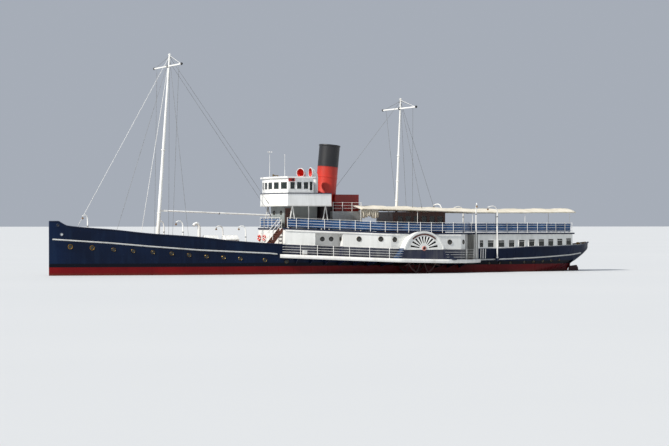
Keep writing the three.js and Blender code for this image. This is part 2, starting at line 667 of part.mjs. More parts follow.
function makeAftHouse() {
  const side = [[PADDLE_X - WALL_INTO_BOX, HOUSE_WIDE_Y], [-12.06, HOUSE_WIDE_Y], [-12.9, 5.25]];
  return houseWalls([...side, ...side.map(([x, y]) => [x, -y]).reverse()]);
}

function houseWalls(path) {
  const walls = wallAlong(refine(path, DECK_TABLES), WALL, wallFoot, wallHead);
  return cut(betweenDecks(walls), bothBoxRooms);
}

addPiece("forward_house", makeForwardHouse(), "white");
addPiece("aft_house", makeAftHouse(), "white");

// Aft saloon: side walls on the hull's rail with a row of windows, and a front bulkhead
const SALOON_WINDOWS = { first: -15.22, pitch: 1.289, count: 10, width: 0.73, height: 0.72 };
const SALOON_SILL = { lowest: 2.67, overRail: 0.07, fromBulkhead: 0.12 };

function saloonWindows() {
  return Array.from({ length: SALOON_WINDOWS.count }, (_, place) => {
    const front = SALOON_WINDOWS.first - place * SALOON_WINDOWS.pitch;
    const aft = front - SALOON_WINDOWS.width;
    const sill = Math.max(SALOON_SILL.lowest, hullRailZ(aft) + SALOON_SILL.overRail);
    const clearFront = Math.min(front, HOUSE_AFT_X - SALOON_SILL.fromBulkhead);
    return block(aft, clearFront, -5, 5, sill, sill + SALOON_WINDOWS.height);
  });
}

function makeSaloon() {
  const rail = stations(HOUSE_AFT_X + 0.1, SALOON_AFT_X - PLATING / 2, [railTable(4), PROMENADE_DECK]);
  const side = rail.map((x) => [x, hullRailY(x) - 0.06]);
  const path = [...side, ...side.map(([x, y]) => [x, -y]).reverse()];
  const underRail = roomBy(-15, -28.5, hullRailZ, [railTable(4)]);
  const walls = cut(wallAlong(path, WALL, (x) => hullRailZ(x) - 0.1, wallHead), [underRail]);
  const front = HOUSE_AFT_X + 0.02;
  const bulkhead = block(front, front + WALL, -3.6, 3.6, 1, 5);
  const doorway = block(front - 1, front + 1, -0.45, 0.45, 1.0, 3.4);
  return cut(betweenDecks(join([walls, bulkhead])), [...saloonWindows(), doorway]);
}

addPiece("saloon", makeSaloon(), "white");

// Promenade deck with the posts that carry it over the side gangway. Columns: post x, y.
const GANGWAY_POSTS = [[-13.6, 4.3], [-14.9, 3.6]];

function makePromenadeDeck() {
  const deck = deckPlate(
    HOUSE_FRONT_X, PROMENADE_AFT_X, PROMENADE_EDGE, PROMENADE_DECK, PROMENADE_THICKNESS,
  );
  const posts = [];
  for (const side of [1, -1]) {
    for (const [x, y] of GANGWAY_POSTS) {
      posts.push(rod([x, side * y, 1], [x, side * y, promenadeZ(x) - 0.05], 0.07, 8));
    }
  }
  return cut(join([deck, ...posts]), [underMainDeck]);
}

addPiece("promenade_deck", makePromenadeDeck(), "teak");

// Promenade rails with the canvas dodgers laced inside them
const RAIL_INSET = 0.1;
const DODGER_SHIFT = 0.03 + 0.01 + GAP;
const dodgerFoot = (x) => promenadeZ(x) + 0.12;
const dodgerHead = (x) => promenadeZ(x) + 0.98;

function promenadeSidePath() {
  const between = PROMENADE_EDGE.slice(1, -1).map(([x]) => x);
  const all = [HOUSE_FRONT_X - 0.3, ...between, PROMENADE_AFT_X + 0.2];
  return refine(all.map((x) => [x, promenadeEdgeY(x) - RAIL_INSET]), [PROMENADE_DECK]);
}

function makePromenadeRail() {
  const side = promenadeSidePath();
  const path = [...side, ...side.map(([x, y]) => [x, -y]).reverse()];
  return cut(railAlong(path, promenadeZ, [RAIL_HEIGHT, RAIL_MIDDLE], 3.9), [underPromenade]);
}

addPiece("promenade_rail", makePromenadeRail(), "white");

const DODGER_AFT_X = PROMENADE_AFT_X + 0.4;
const dodgerPath = promenadeSidePath();
dodgerPath[dodgerPath.length - 1] = [DODGER_AFT_X, promenadeEdgeY(DODGER_AFT_X) - RAIL_INSET];
const dodger = wallAlong(dodgerPath, 0.02, dodgerFoot, dodgerHead, DODGER_SHIFT);
addPiece("dodger_port", dodger, "canvasBlue");
addPiece("dodger_starboard", mirrored(dodger), "canvasBlue");

const STAIR = { y0: 2.05, y1: 3.0, topX: 7.0, footX: 9.2, treads: 11 };
const FRONT_RAIL = [[HOUSE_FRONT_X - RAIL_INSET, -3.2], [HOUSE_FRONT_X - RAIL_INSET, STAIR.y0 - 0.05]];

function makeFrontRail() {
  return cut(railAlong(FRONT_RAIL, promenadeZ, [RAIL_HEIGHT, RAIL_MIDDLE], 1.75), [underPromenade]);
}

addPiece("promenade_rail_front", makeFrontRail(), "white");
addPiece("dodger_front", wallAlong(FRONT_RAIL, 0.02, dodgerFoot, dodgerHead, DODGER_SHIFT), "canvasBlue");

// Stairs from the promenade down to the foredeck
function makeStairs() {
  const topZ = promenadeZ(STAIR.topX) - 0.02;
  const footZ = foreDeckZ(STAIR.footX);
  const start = STAIR.topX + GAP;
  const stringer = [
    [start, topZ - 0.34], [start, topZ], [start + 0.12, topZ],
    [STAIR.footX, footZ + 0.16], [STAIR.footX, footZ - 0.1], [STAIR.footX - 0.35, footZ - 0.05],
  ];
  const pieces = [
    sidePrism(stringer, STAIR.y0, STAIR.y0 + 0.06),
    sidePrism(stringer, STAIR.y1 - 0.06, STAIR.y1),
  ];
  for (let tread = 1; tread < STAIR.treads; tread += 1) {
    const share = tread / STAIR.treads;
    const x = STAIR.topX + 0.1 + (STAIR.footX - STAIR.topX - 0.1) * share;
    const z = topZ + (footZ + 0.04 - topZ) * share;
    pieces.push(block(x - 0.13, x + 0.09, STAIR.y0 + 0.03, STAIR.y1 - 0.03, z - 0.08, z - 0.03));
  }
  return cut(join(pieces), [underForeDeck]);
}

addPiece("fore_stairs", makeStairs(), "brown");

// Sponson rails
function sponsonRailPath(front, aft) {
  return stations(front, aft, [SPONSON_EDGE, MAIN_DECK]).map((x) => [x, readAt(SPONSON_EDGE, x) - 0.08]);
}

function sponsonRail(front, aft) {
  return cut(railAlong(sponsonRailPath(front, aft), mainDeckZ, [1.05, 0.52], 3.0), [underMainDeck]);
}

const foreSponsonRail = sponsonRail(7.3, PADDLE_X + 2.75);
addPiece("sponson_rail_fore_port", foreSponsonRail, "white");
addPiece("sponson_rail_fore_starboard", mirrored(foreSponsonRail), "white");
const aftSponsonRail = sponsonRail(PADDLE_X - 2.75, -14.4);
addPiece("sponson_rail_aft_port", aftSponsonRail, "white");
addPiece("sponson_rail_aft_starboard", mirrored(aftSponsonRail), "white");

// Deckhouses on the promenade deck
function house({ x0, x1, y, top }, windows, wall = WALL) {
  const outer = block(x0, x1, -y, y, 4, top);
  const inner = block(x0 + wall, x1 - wall, wall - y, y - wall, 3, top - wall);
  return cut(outer, [inner, underPromenade, ...windows]);
}

const BRIDGE_HOUSE = { x0: 2.6, x1: 6.3, y: 1.75, top: BRIDGE_DECK_Z - 0.12 - GAP };
addPiece("bridge_house", house(BRIDGE_HOUSE, []), "grey");

const DARK_HOUSE = { x0: -12.25, x1: -6.05, y: 2.0, top: 6.4 };
const DARK_WINDOWS = { first: -6.6, pitch: 0.95, count: 6, width: 0.6, sill: 5.2, head: 5.95 };

function makeDarkHouse() {
  const windows = Array.from({ length: DARK_WINDOWS.count }, (_, place) => {
    const front = DARK_WINDOWS.first - place * DARK_WINDOWS.pitch;
    return block(front - DARK_WINDOWS.width, front, -3, 3, DARK_WINDOWS.sill, DARK_WINDOWS.head);
  });
  return house(DARK_HOUSE, windows);
}

addPiece("saloon_entrance_house", makeDarkHouse(), "brown");

// Funnel, its foot and the machinery casing aft of it
function funnelPoint(z) {
  return [FUNNEL_FOOT_X - (z - FUNNEL_FOOT_Z) * Math.tan(FUNNEL_RAKE), 0, z];
}

function funnelBar(radius, z0, z1, sides = 32) {
  const tall = rod(funnelPoint(z0 - 1), funnelPoint(z1 + 1), radius, sides);
  return cut(tall, [block(-9, 9, -9, 9, z0 - 4, z0), block(-9, 9, -9, 9, z1, z1 + 4)]);
}

const FUNNEL_BASE_RADIUS = 1.25;

function makeFunnel() {
  const foot = cut(funnelBar(FUNNEL_BASE_RADIUS, 4.2, FUNNEL_FOOT_Z - GAP, 24), [underPromenade]);
  const tall = funnelBar(FUNNEL_RADIUS, FUNNEL_FOOT_Z - 0.2, FUNNEL_TOP_Z);
  const flue = funnelBar(FUNNEL_RADIUS - 0.08, FUNNEL_FOOT_Z + 0.5, FUNNEL_TOP_Z + 0.5, 24);
  return join([foot, tall]).subtract(flue);
}

addPiece("funnel", makeFunnel(), "red");

const CASING = { x0: -2.5, x1: 0.9, y: 1.9, top: 6.45 };
const CASING_WALL = 0.4;
const CASING_TOP = { x0: -2.3, x1: 0.4, y: 1.5, top: 8.2 };

function makeCasing() {
  const low = house(CASING, [], CASING_WALL);
  const { x0, x1, y, top } = CASING_TOP;
  const funnelRoom = [
    funnelBar(FUNNEL_BASE_RADIUS + GAP, 3, FUNNEL_FOOT_Z + GAP, 24),
    funnelBar(FUNNEL_RADIUS + GAP, 3, 10),
  ];
  return cut(join([low, block(x0, x1, -y, y, CASING.top - 0.2, top)]), funnelRoom);
}

addPiece("casing", makeCasing(), "darkRed");

// Bridge: deck on its posts, bulwark, wheelhouse
function bowedFront(cornerX, halfY, bow, steps = 6) {
  const points = [];
  for (let step = 0; step <= steps; step += 1) {
    const share = (2 * step) / steps - 1;
    points.push([cornerX + bow * (1 - share * share), -halfY * share]);
  }
  return points;
}

// A plan with straight sides and a bowed front, larger all round by grow.
function bowedOutline(aftX, cornerX, halfY, grow) {
  const half = halfY + grow;
  const front = bowedFront(cornerX + grow, half, BRIDGE_BOW);
  return [[aftX - grow, half], ...front, [aftX - grow, -half]];
}

const bridgeOutline = (grow) => bowedOutline(BRIDGE_AFT_X, BRIDGE_CORNER_X, BRIDGE_HALF_Y, grow);

// Legs under the bridge: two pairs that meet at the top, and a straight one between them.
// Columns: top x, foot x, y.
const BRIDGE_LEGS = [
  [6.03, 6.5, 3.2], [6.03, 5.56, 3.2], [4.23, 4.23, 3.25], [2.36, 2.83, 3.3], [2.36, 1.89, 3.3],
];

function makeBridgeDeck() {
  const deck = planPrism(bridgeOutline(0), BRIDGE_DECK_Z - 0.12, BRIDGE_DECK_Z);
  const posts = [];
  for (const side of [1, -1]) {
    for (const [topX, footX, y] of BRIDGE_LEGS) {
      posts.push(rod([footX, side * y, 4.4], [topX, side * y, BRIDGE_DECK_Z - 0.05], 0.06, 6));
    }
  }
  return cut(join([deck, ...posts]), [funnelBar(FUNNEL_BASE_RADIUS + 0.1, 6, 8), underPromenade]);
}

addPiece("bridge_deck", makeBridgeDeck(), "teak");

function makeBridgeBulwark() {
  const path = bridgeOutline(-0.04);
  path[0][0] = BRIDGE_AFT_X + 0.02;
  path.at(-1)[0] = BRIDGE_AFT_X + 0.02;
  return wallAlong(path, 0.06, () => BRIDGE_DECK_Z + GAP, () => BULWARK_TOP_Z);
}

addPiece("bridge_bulwark", makeBridgeBulwark(), "white");

const DOOR = {
  y0: 2.2, y1: 2.95, z0: BRIDGE_DECK_Z + 0.12, z1: 9.1, thickness: 0.05, pane: [8.35, 8.97],
};
const HINGE = {
  x: WHEELHOUSE_AFT_X - 0.03, y: DOOR.y1, heights: [7.45, 8.75], pin: 0.012, knuckle: 0.028,
};

// The fixed half of a door's hinges: a lug on the wall with an upright pin.
function hingeLugs() {
  return join(HINGE.heights.map((z) => join([
    block(HINGE.x - 0.03, WHEELHOUSE_AFT_X - 0.005, HINGE.y - 0.02, HINGE.y + 0.06, z - 0.05, z),
    block(HINGE.x, WHEELHOUSE_AFT_X + 0.01, HINGE.y + 0.002, HINGE.y + 0.06, z - 0.05, z),
    rod([HINGE.x, HINGE.y, z - 0.04], [HINGE.x, HINGE.y, z + 0.1], HINGE.pin, 8),
  ])));
}

// The moving half: a bored knuckle on a leaf.
function hingeKnuckles() {
  return join(HINGE.heights.map((z) => join([
    rod([HINGE.x, HINGE.y, z + GAP], [HINGE.x, HINGE.y, z + 0.12], HINGE.knuckle, 10),
    block(HINGE.x - 0.01, HINGE.x + 0.06, HINGE.y - 0.07, HINGE.y - 0.004, z + GAP, z + 0.12),
  ]).subtract(rod([HINGE.x, HINGE.y, z - 1], [HINGE.x, HINGE.y, z + 1], holeFor(HINGE.pin, 8), 8))));
}

const WHEELHOUSE_CORNER_X = BRIDGE_CORNER_X - 0.16;
const wheelhouseOutline = (grow) => (
  bowedOutline(WHEELHOUSE_AFT_X, WHEELHOUSE_CORNER_X, WHEELHOUSE_HALF_Y, grow)
);

// Openings in the wheelhouse. Columns: aft x, front x, starboard y, port y, sill, head.
const SILL_Z = 8.72;
const HEAD_Z = 9.42;
const WHEELHOUSE_OPENINGS = [
  ...[-2.72, -1.36, 0, 1.36, 2.72].map((y) => [6, 8, y - 0.48, y + 0.48, SILL_Z, HEAD_Z]),
  ...[6.35, 5.6, 4.85].map((x) => [x - 0.5, x, -4, 4, SILL_Z, HEAD_Z]),
  [3.86, 4.18, -4, 4, SILL_Z - 0.15, HEAD_Z + 0.05],
  ...[-1.2, 0, 1.2].map((y) => [3, 4.5, y - 0.4, y + 0.4, SILL_Z, HEAD_Z]),
  [3, 4.5, DOOR.y0, DOOR.y1, DOOR.z0, DOOR.z1],
  [3, 4.5, -DOOR.y1, -DOOR.y0, DOOR.z0, DOOR.z1],
];

function makeWheelhouse() {
  const z0 = BRIDGE_DECK_Z + GAP;
  const outer = planPrism(wheelhouseOutline(0), z0, ROOF_Z);
  const inner = planPrism(wheelhouseOutline(-WALL), z0 - 1, ROOF_Z + 1);
  const walls = cut(outer, [inner, ...WHEELHOUSE_OPENINGS.map((row) => block(...row))]);
  return join([walls, hingeLugs(), mirrored(hingeLugs())]);
}

addPiece("wheelhouse", makeWheelhouse(), "white");
addPiece("wheelhouse_roof", planPrism(wheelhouseOutline(0.14), ROOF_Z + GAP, ROOF_Z + 0.12), "white");

function makeDoor() {
  const margin = 0.012;
  const frame = 0.14;
  const x1 = WHEELHOUSE_AFT_X + WALL - 0.02;
  const height = [DOOR.z0 + margin, DOOR.z1 - margin];
  const panel = block(x1 - DOOR.thickness, x1, DOOR.y0 + margin, DOOR.y1 - margin, ...height);
  const pane = block(3, 4.5, DOOR.y0 + frame, DOOR.y1 - frame, ...DOOR.pane);
  return join([panel.subtract(pane), hingeKnuckles()]);
}

const door = makeDoor();
addPiece("wheelhouse_door_port", door, "brown");
addPiece("wheelhouse_door_starboard", mirrored(door), "brown");

const HELM = { x: 5.9, z: 8.05, reach: 0.575, hub: 0.09, axle: 0.24, axleRadius: 0.03 };
const RIM_SECTION = [[0.4, -0.03], [0.46, -0.03], [0.46, 0.03], [0.4, 0.03], [0.4, -0.03]];

function makeHelmWheel() {
  const rim = new THREE.LatheGeometry(RIM_SECTION.map((corner) => new THREE.Vector2(...corner)), 16);
  rim.rotateZ(Math.PI / 2).translate(HELM.x, 0, HELM.z);
  const pieces = [
    solid(rim),
    rod([HELM.x - 0.06, 0, HELM.z], [HELM.x + HELM.hub - GAP, 0, HELM.z], 0.09, 8),
    rod([HELM.x, 0, HELM.z], [HELM.x + HELM.axle, 0, HELM.z], HELM.axleRadius, 8),
  ];
  for (let spoke = 0; spoke < 8; spoke += 1) {
    const angle = (Math.PI * spoke) / 4;
    const tip = [HELM.x, HELM.reach * Math.sin(angle), HELM.z + HELM.reach * Math.cos(angle)];
    pieces.push(rod([HELM.x, 0, HELM.z], tip, 0.02, 4));
  }
  return join(pieces);
}

addPiece("helm_wheel", makeHelmWheel(), "brown");

function makeHelmStand() {
  const pedestal = block(HELM.x + HELM.hub, HELM.x + 0.34, -0.16, 0.16, BRIDGE_DECK_Z + GAP, HELM.z + 0.16);
  const sole = block(HELM.x, HELM.x + 0.42, -0.2, 0.2, BRIDGE_DECK_Z + GAP, BRIDGE_DECK_Z + 0.06);
  const boreEnd = [HELM.x + HELM.axle + 0.01, 0, HELM.z];
  const bore = rod([HELM.x, 0, HELM.z], boreEnd, holeFor(HELM.axleRadius, 8), 8);
  return join([pedestal, sole]).subtract(bore);
}

addPiece("helm_stand", makeHelmStand(), "brown");

// Cowl vents abreast of the funnel. The starboard one is turned a little to port.
const COWL = { x: 2.7, y: 1.5, z: 10.47, trunk: 0.3, mouth: 0.5, length: 0.55, depth: 0.2 };

function makeCowl(y, turn) {
  const { x, z, trunk, mouth, length, depth } = COWL;
  const stem = rod([x, y, BRIDGE_DECK_Z + GAP], [x, y, z], trunk, 12);
  const crown = new THREE.SphereGeometry(trunk, 12, 6).rotateX(Math.PI / 2).translate(x, y, z);
  const bell = rod([x, y, z], [x + length, y, z], trunk, 12, mouth);
  const throat = rod([x + length - depth, y, z], [x + length + 0.05, y, z], 0.7 * trunk, 12, 0.95 * mouth);
  const mouthPiece = cut(bell, [throat]).translate([-x, -y, 0]).rotate([0, 0, turn]);
  return join([stem, solid(crown), mouthPiece.translate([x, y, 0])]);
}

addPiece("cowl_vent_port", makeCowl(COWL.y, 0), "white");
addPiece("cowl_vent_starboard", makeCowl(-COWL.y, 30), "white");

// Masts with their yards and main stays
const YARD = { half: 3.95, radius: 0.07, forward: 0.12 };
const FORE_MAST = {
  foot: [19.56, 0, foreDeckZ(19.56)], head: [18.21, 0, 22.3], radii: [0.2, 0.09], yardZ: 21.1,
};
const MAIN_MAST = {
  foot: [-7.43, 0, DARK_HOUSE.top - 0.1], head: [-7.95, 0, 18.4], radii: [0.14, 0.07], yardZ: 17.4,
};

// Centreline station of a raked mast at a height.
function mastXAt({ foot, head }, z) {
  return foot[0] + ((head[0] - foot[0]) * (z - foot[2])) / (head[2] - foot[2]);
}

function mastPiece(mast) {
  const { foot, head, radii, yardZ } = mast;
  const yardX = mastXAt(mast, yardZ) + YARD.forward;
  return join([
    rod(foot, head, radii[0], 14, radii[1]),
    rod([yardX, -YARD.half, yardZ], [yardX, YARD.half, yardZ], YARD.radius, 8),
    rod([head[0], 0, head[2] - 0.1], [yardX, YARD.half - 0.15, yardZ], 0.02, 4),
  ]);
}

const houseTopRoom = block(-9, -6, -1, 1, 5, DARK_HOUSE.top + GAP);
addPiece("mainmast", cut(mastPiece(MAIN_MAST), [houseTopRoom]), "white");

// Fore boom, hinged at the mast and swung a little to port, so that it lifts clear of the bridge
const BOOM = {
  heelX: 18.55, heelZ: 6.46, endX: 7.37, endZ: 6.02, radius: 0.08, pin: 0.03,
  swing: THREE.MathUtils.degToRad(-5.64),
};

function swungToPort(body) {
  const geometry = geometryOf(body);
  geometry.translate(-BOOM.heelX, 0, 0).rotateZ(BOOM.swing).translate(BOOM.heelX, 0, 0);
  return solid(geometry);
}

function makeBoom() {
  const heel = new THREE.Vector3(BOOM.heelX, 0, BOOM.heelZ);
  const shoulder = heel.clone().lerp(new THREE.Vector3(BOOM.endX, 0, BOOM.endZ), 0.03);
  const eye = rod([BOOM.heelX, -0.06, BOOM.heelZ], [BOOM.heelX, 0.06, BOOM.heelZ], 0.09, 12);
  const neck = rod(heel.toArray(), shoulder.toArray(), 0.055, 8);
  const spar = rod(shoulder.toArray(), [BOOM.endX, 0, BOOM.endZ], BOOM.radius, 10);
  const bore = rod([BOOM.heelX, -1, BOOM.heelZ], [BOOM.heelX, 1, BOOM.heelZ], holeFor(BOOM.pin, 12), 12);
  return swungToPort(join([eye, neck, spar]).subtract(bore));
}

addPiece("fore_boom", makeBoom(), "white");

// Where the main stays of the foremast come down: the stem, and the rail on each side.
const SHROUD_X = 20.6;
const SHROUD_Y = hullY(SHROUD_X, foreDeckZ(SHROUD_X)) - PLATING - 0.06;
const FORE_STAY_FEET = [
  [28.6, 0, foreDeckZ(28.6) - 0.05],
  [SHROUD_X, SHROUD_Y, foreDeckZ(SHROUD_X) - 0.05],
  [SHROUD_X, -SHROUD_Y, foreDeckZ(SHROUD_X) - 0.05],
];

// The boom's fork and pin on the mast
function makeGooseneck() {
  const mastX = mastXAt(FORE_MAST, BOOM.heelZ);
  const cheeks = [1, -1].map((side) => {
    const [y0, y1] = [side * 0.075, side * 0.12].sort((a, b) => a - b);
    return block(BOOM.heelX - 0.08, mastX, y0, y1, BOOM.heelZ - 0.09, BOOM.heelZ + 0.09);
  });
  const pin = rod([BOOM.heelX, -0.12, BOOM.heelZ], [BOOM.heelX, 0.12, BOOM.heelZ], BOOM.pin, 12);
  return swungToPort(join([...cheeks, pin]));
}

function makeForemast() {
  const [headX, , headZ] = FORE_MAST.head;
  const stays = FORE_STAY_FEET.map(([x, y, z]) => rod([headX, 0, headZ - 0.15], [x, y, z], 0.02, 4));
  return cut(join([mastPiece(FORE_MAST), makeGooseneck(), ...stays]), [underForeDeck]);
}

addPiece("foremast", makeForemast(), "white");

// Awning over the after promenade, on its frame
const awningHalfY = (x) => promenadeEdgeY(Math.min(x, -18)) - 0.25;
const awningEdgeZ = (x) => readAt(AWNING_EDGE, x);
const AWNING_STATIONS = [
  AWNING_FRONT_X, -4.9, -8.2, -11.5, -14.75, -18, -21.3, -24.5, -27.45, AWNING_AFT_X,
];
const AWNING_RIDGE = 0.41;
const AWNING_SHARES = [-1, -0.75, -0.5, -0.25, 0, 0.25, 0.5, 0.75, 1];

function awningRing(x, thickness, lift) {
  const half = awningHalfY(x);
  const height = (share) => awningEdgeZ(x) + lift + AWNING_RIDGE * (1 - share * share);
  const top = AWNING_SHARES.map((share) => [x, share * half, height(share)]);
  return [...top, ...top.slice().reverse().map(([a, y, z]) => [a, y, z - thickness])];
}

const awningRoom = [
  rod([-7.3, 0, 6], [-7.6, 0, 9], 0.3, 12),
  block(CASING_TOP.x0 - 0.12, 0, -CASING_TOP.y - 0.12, CASING_TOP.y + 0.12, 6, 9),
];
const awningSheet = loft(AWNING_STATIONS.map((x) => awningRing(x, 0.02, 0)));
addPiece("awning", cut(awningSheet, awningRoom), "canvasCream");

function makeAwningFrame() {
  const underCanvas = loft(AWNING_STATIONS.map((x) => awningRing(x, 0.05, -0.02 - GAP)));
  const pieces = [];
  for (const x of AWNING_STATIONS) {
    pieces.push(underCanvas.intersect(block(x - 0.03, x + 0.03, -6, 6, 5, 9)));
    for (const side of AWNING_STATIONS.indexOf(x) % 2 ? [] : [1, -1]) {
      const y = side * (awningHalfY(x) - 0.04);
      const inward = Math.sign(-15 - x) * 0.02;
      pieces.push(rod([x + inward, y, 4], [x + inward, y, awningEdgeZ(x) - 0.04], 0.03, 4));
    }
  }
  for (const side of [1, -1]) {
    const path = AWNING_STATIONS.map((x) => [x, side * (awningHalfY(x) - 0.04)]);
    pieces.push(wallAlong(path, 0.04, (x) => awningEdgeZ(x) - 0.09, (x) => awningEdgeZ(x) - 0.05));
  }
  return cut(join(pieces), [underPromenade, ...awningRoom]);
}

addPiece("awning_frame", makeAwningFrame(), "white");

// Davits, each a post with a bent arm, turning on its step
function makeDavit([, x, y, topZ, reachX, reachY]) {
  const footZ = davitStepZ(x) + GAP;
  const bendZ = topZ - 0.75;
  const post = rod([x, y, footZ], [x, y, bendZ + 0.02], 0.07, 6);
  const foot = rod([x, y, footZ], [x, y, footZ + 0.15], 0.11, 8);
  const arm = bentRod([
    [x, y, bendZ], [x + reachX * 0.12, y + reachY * 0.12, bendZ + 0.5],
    [x + reachX * 0.5, y + reachY * 0.5, topZ - 0.05], [x + reachX, y + reachY, topZ - 0.2],
  ], 0.06, 6, 5);
  return join([post, foot, arm]);
}

for (const row of DAVITS) {
  const davit = makeDavit(row);
  addPiece(`${row[0]}_port`, davit, "white");
  addPiece(`${row[0]}_starboard`, mirrored(davit), "white");
}

addPiece(ANCHOR_DAVIT[0], makeDavit(ANCHOR_DAVIT), "white");

// Windlass and capstan
const WINDLASS = { x: 25.2, barrelZ: foreDeckZ(25.2) + 0.45, half: 0.7, radius: 0.25 };

function makeWindlass() {
  const { x, barrelZ, half, radius } = WINDLASS;
  const cheeks = [-0.35, 0.2].map((y) => block(x - 0.25, x + 0.25, y, y + 0.15, 3, barrelZ + 0.25));
  const barrel = rod([x, -half, barrelZ], [x, half, barrelZ], radius, 12);
  return cut(join([barrel, ...cheeks]), [underForeDeck]);
}

addPiece("windlass", makeWindlass(), "steel");

const CAPSTAN = { x: -29.87, height: 1.1, footRadius: 0.22, headRadius: 0.16 };
const CAPSTAN_ENDS = [GAP, CAPSTAN.height].map((rise) => [CAPSTAN.x, 0, STERN_DECK_Z + rise]);
addPiece("capstan", rod(...CAPSTAN_ENDS, CAPSTAN.footRadius, 16, CAPSTAN.headRadius), "white");

// Skylights on the foredeck: a coaming under a pitched top
const SKYLIGHT = { halfY: 0.7, overhang: 0.04, eavesZ: 3.5, coamingZ: 3.55, ridgeZ: 3.98 };

// A cross-ship outline of [y, z] points carried between two stations.
function crossPrism(points, x0, x1) {
  return loft([x1, x0].map((x) => points.map(([y, z]) => [x, y, z])));
}

function makeSkylight(x0, x1) {
  const { halfY, overhang, eavesZ, coamingZ, ridgeZ } = SKYLIGHT;
  const coaming = block(x0, x1, -halfY, halfY, 2, coamingZ);
  const gable = [[-halfY - 0.05, eavesZ], [halfY + 0.05, eavesZ], [0, ridgeZ]];
  return cut(join([coaming, crossPrism(gable, x0 - overhang, x1 + overhang)]), [underForeDeck]);
}

addPiece("skylight_fore", makeSkylight(13.1, 14.5), "teak");
addPiece("skylight_aft", makeSkylight(10.9, 12.3), "teak");

// Swan-neck vent: an upright pipe bent over forward
const SWAN_NECK = [[15.0, 0, 4.7], [15.05, 0, 5.05], [15.4, 0, 5.2], [15.62, 0, 4.95]];
const swanPipe = rod([15.0, 0, 2.4], [15.0, 0, 4.75], 0.16, 10);
const swanNeck = join([swanPipe, bentRod(SWAN_NECK, 0.15, 10, 5)]);
addPiece("swan_neck_vent", cut(swanNeck, [underForeDeck]), "white");

export default ship;
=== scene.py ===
# %% [markdown]
# # A paddle steamer from numpy surfaces
#
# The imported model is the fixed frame: it says where every plate, deck and joint is. This script
# builds what a camera sees on it, such as the faired hull, the painted plating, the rails and
# the canvas. The real ship is about 62 m long and the model is half of that, so every length
# below is written in metres of the ship, as on her drawings, and scaled once when a mesh is made.

import math

import bmesh
import bpy
import numpy as np
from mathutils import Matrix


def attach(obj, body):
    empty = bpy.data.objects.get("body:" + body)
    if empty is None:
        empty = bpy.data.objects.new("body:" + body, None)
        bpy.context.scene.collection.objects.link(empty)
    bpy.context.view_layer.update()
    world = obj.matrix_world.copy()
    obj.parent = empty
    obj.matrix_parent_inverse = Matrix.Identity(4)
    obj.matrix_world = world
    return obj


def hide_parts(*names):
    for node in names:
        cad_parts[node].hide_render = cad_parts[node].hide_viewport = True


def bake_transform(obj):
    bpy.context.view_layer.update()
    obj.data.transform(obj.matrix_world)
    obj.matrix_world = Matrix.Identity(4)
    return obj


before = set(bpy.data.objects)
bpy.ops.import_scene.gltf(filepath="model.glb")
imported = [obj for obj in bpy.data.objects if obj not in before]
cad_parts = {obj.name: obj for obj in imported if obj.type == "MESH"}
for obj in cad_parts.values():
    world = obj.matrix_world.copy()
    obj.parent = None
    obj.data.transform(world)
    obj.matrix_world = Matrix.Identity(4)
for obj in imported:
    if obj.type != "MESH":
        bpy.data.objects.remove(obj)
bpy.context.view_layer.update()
MODEL_PER_SHIP = 0.5

# %% [markdown]
# ## Reading the lines of the ship
#
# A ship is drawn as tables: at each station along her length a few heights and half-breadths.
# Straight lines between the rows would leave corners on the hull, so the hull reads its tables
# with a cubic that never overshoots a row, while the decks and houses, which are built of
# straight plates, read theirs with straight lines.

# %% Tables and how they are read
# Hull sections from the stem to the counter. Columns: station x, keel height, half-beam at the
# turn of the side, height of that turn, half-beam at the rail, rail height, fullness.
KEEL_Z, TURN_Y, TURN_Z, RAIL_Y, RAIL_Z, FULLNESS = range(1, 7)
HULL_SECTIONS = [
    [30.9, -1.0, 0.05, 0.3, 0.09, 5.39, 1.3],
    [30.1, -1.28, 0.25, 0.3, 0.42, 5.39, 1.3],
    [29.3, -1.32, 0.42, 0.3, 0.72, 4.95, 1.4],
    [27.4, -1.35, 0.85, 0.3, 1.25, 4.74, 1.6],
    [25.1, -1.35, 1.35, 0.3, 1.8, 4.56, 1.8],
    [21.26, -1.35, 2.2, 0.3, 2.65, 4.15, 2.2],
    [16.2, -1.35, 3.05, 0.3, 3.3, 3.79, 2.8],
    [12.6, -1.35, 3.4, 0.3, 3.5, 3.4, 3.6],
    [7.0, -1.35, 3.6, 0.3, 3.65, 3.05, 4.5],
    [-3.9, -1.35, 3.65, 0.3, 3.67, 2.67, 5.0],
    [-13.0, -1.35, 3.65, 0.3, 3.67, 2.5, 4.5],
    [-18.0, -1.35, 3.5, 0.3, 3.65, 2.48, 3.2],
    [-22.3, -1.35, 3.0, 0.4, 3.4, 2.68, 2.0],
    [-24.8, -1.35, 2.5, 0.6, 3.0, 2.7, 1.4],
    [-26.35, -1.35, 2.1, 0.8, 2.68, 2.74, 1.0],
    [-27.8, -1.33, 1.65, 1.1, 2.3, 2.79, 0.7],
    [-28.3, -1.3, 1.55, 1.3, 2.1, 2.81, 0.55],
    [-28.42, 0.6, 1.5, 1.4, 2.05, 2.81, 1.5],
    [-29.2, 1.05, 1.15, 1.7, 1.65, 2.84, 1.6],
    [-30.2, 1.7, 0.75, 2.15, 1.1, 2.98, 1.6],
    [-30.8, 2.15, 0.4, 2.5, 0.6, 3.1, 1.6],
    [-31.04, 2.35, 0.12, 2.6, 0.2, 3.14, 1.6],
]
# Columns: station x, height.
MAIN_DECK = [[7.7, 2.02], [7.0, 2.0], [-0.3, 1.69], [-3.9, 1.55], [-8.9, 1.43], [-14.0, 1.36], [-28.0, 1.5]]
PROMENADE_DECK = [[7.0, 4.7], [-3.5, 4.27], [-9.0, 4.18], [-27.85, 4.17]]
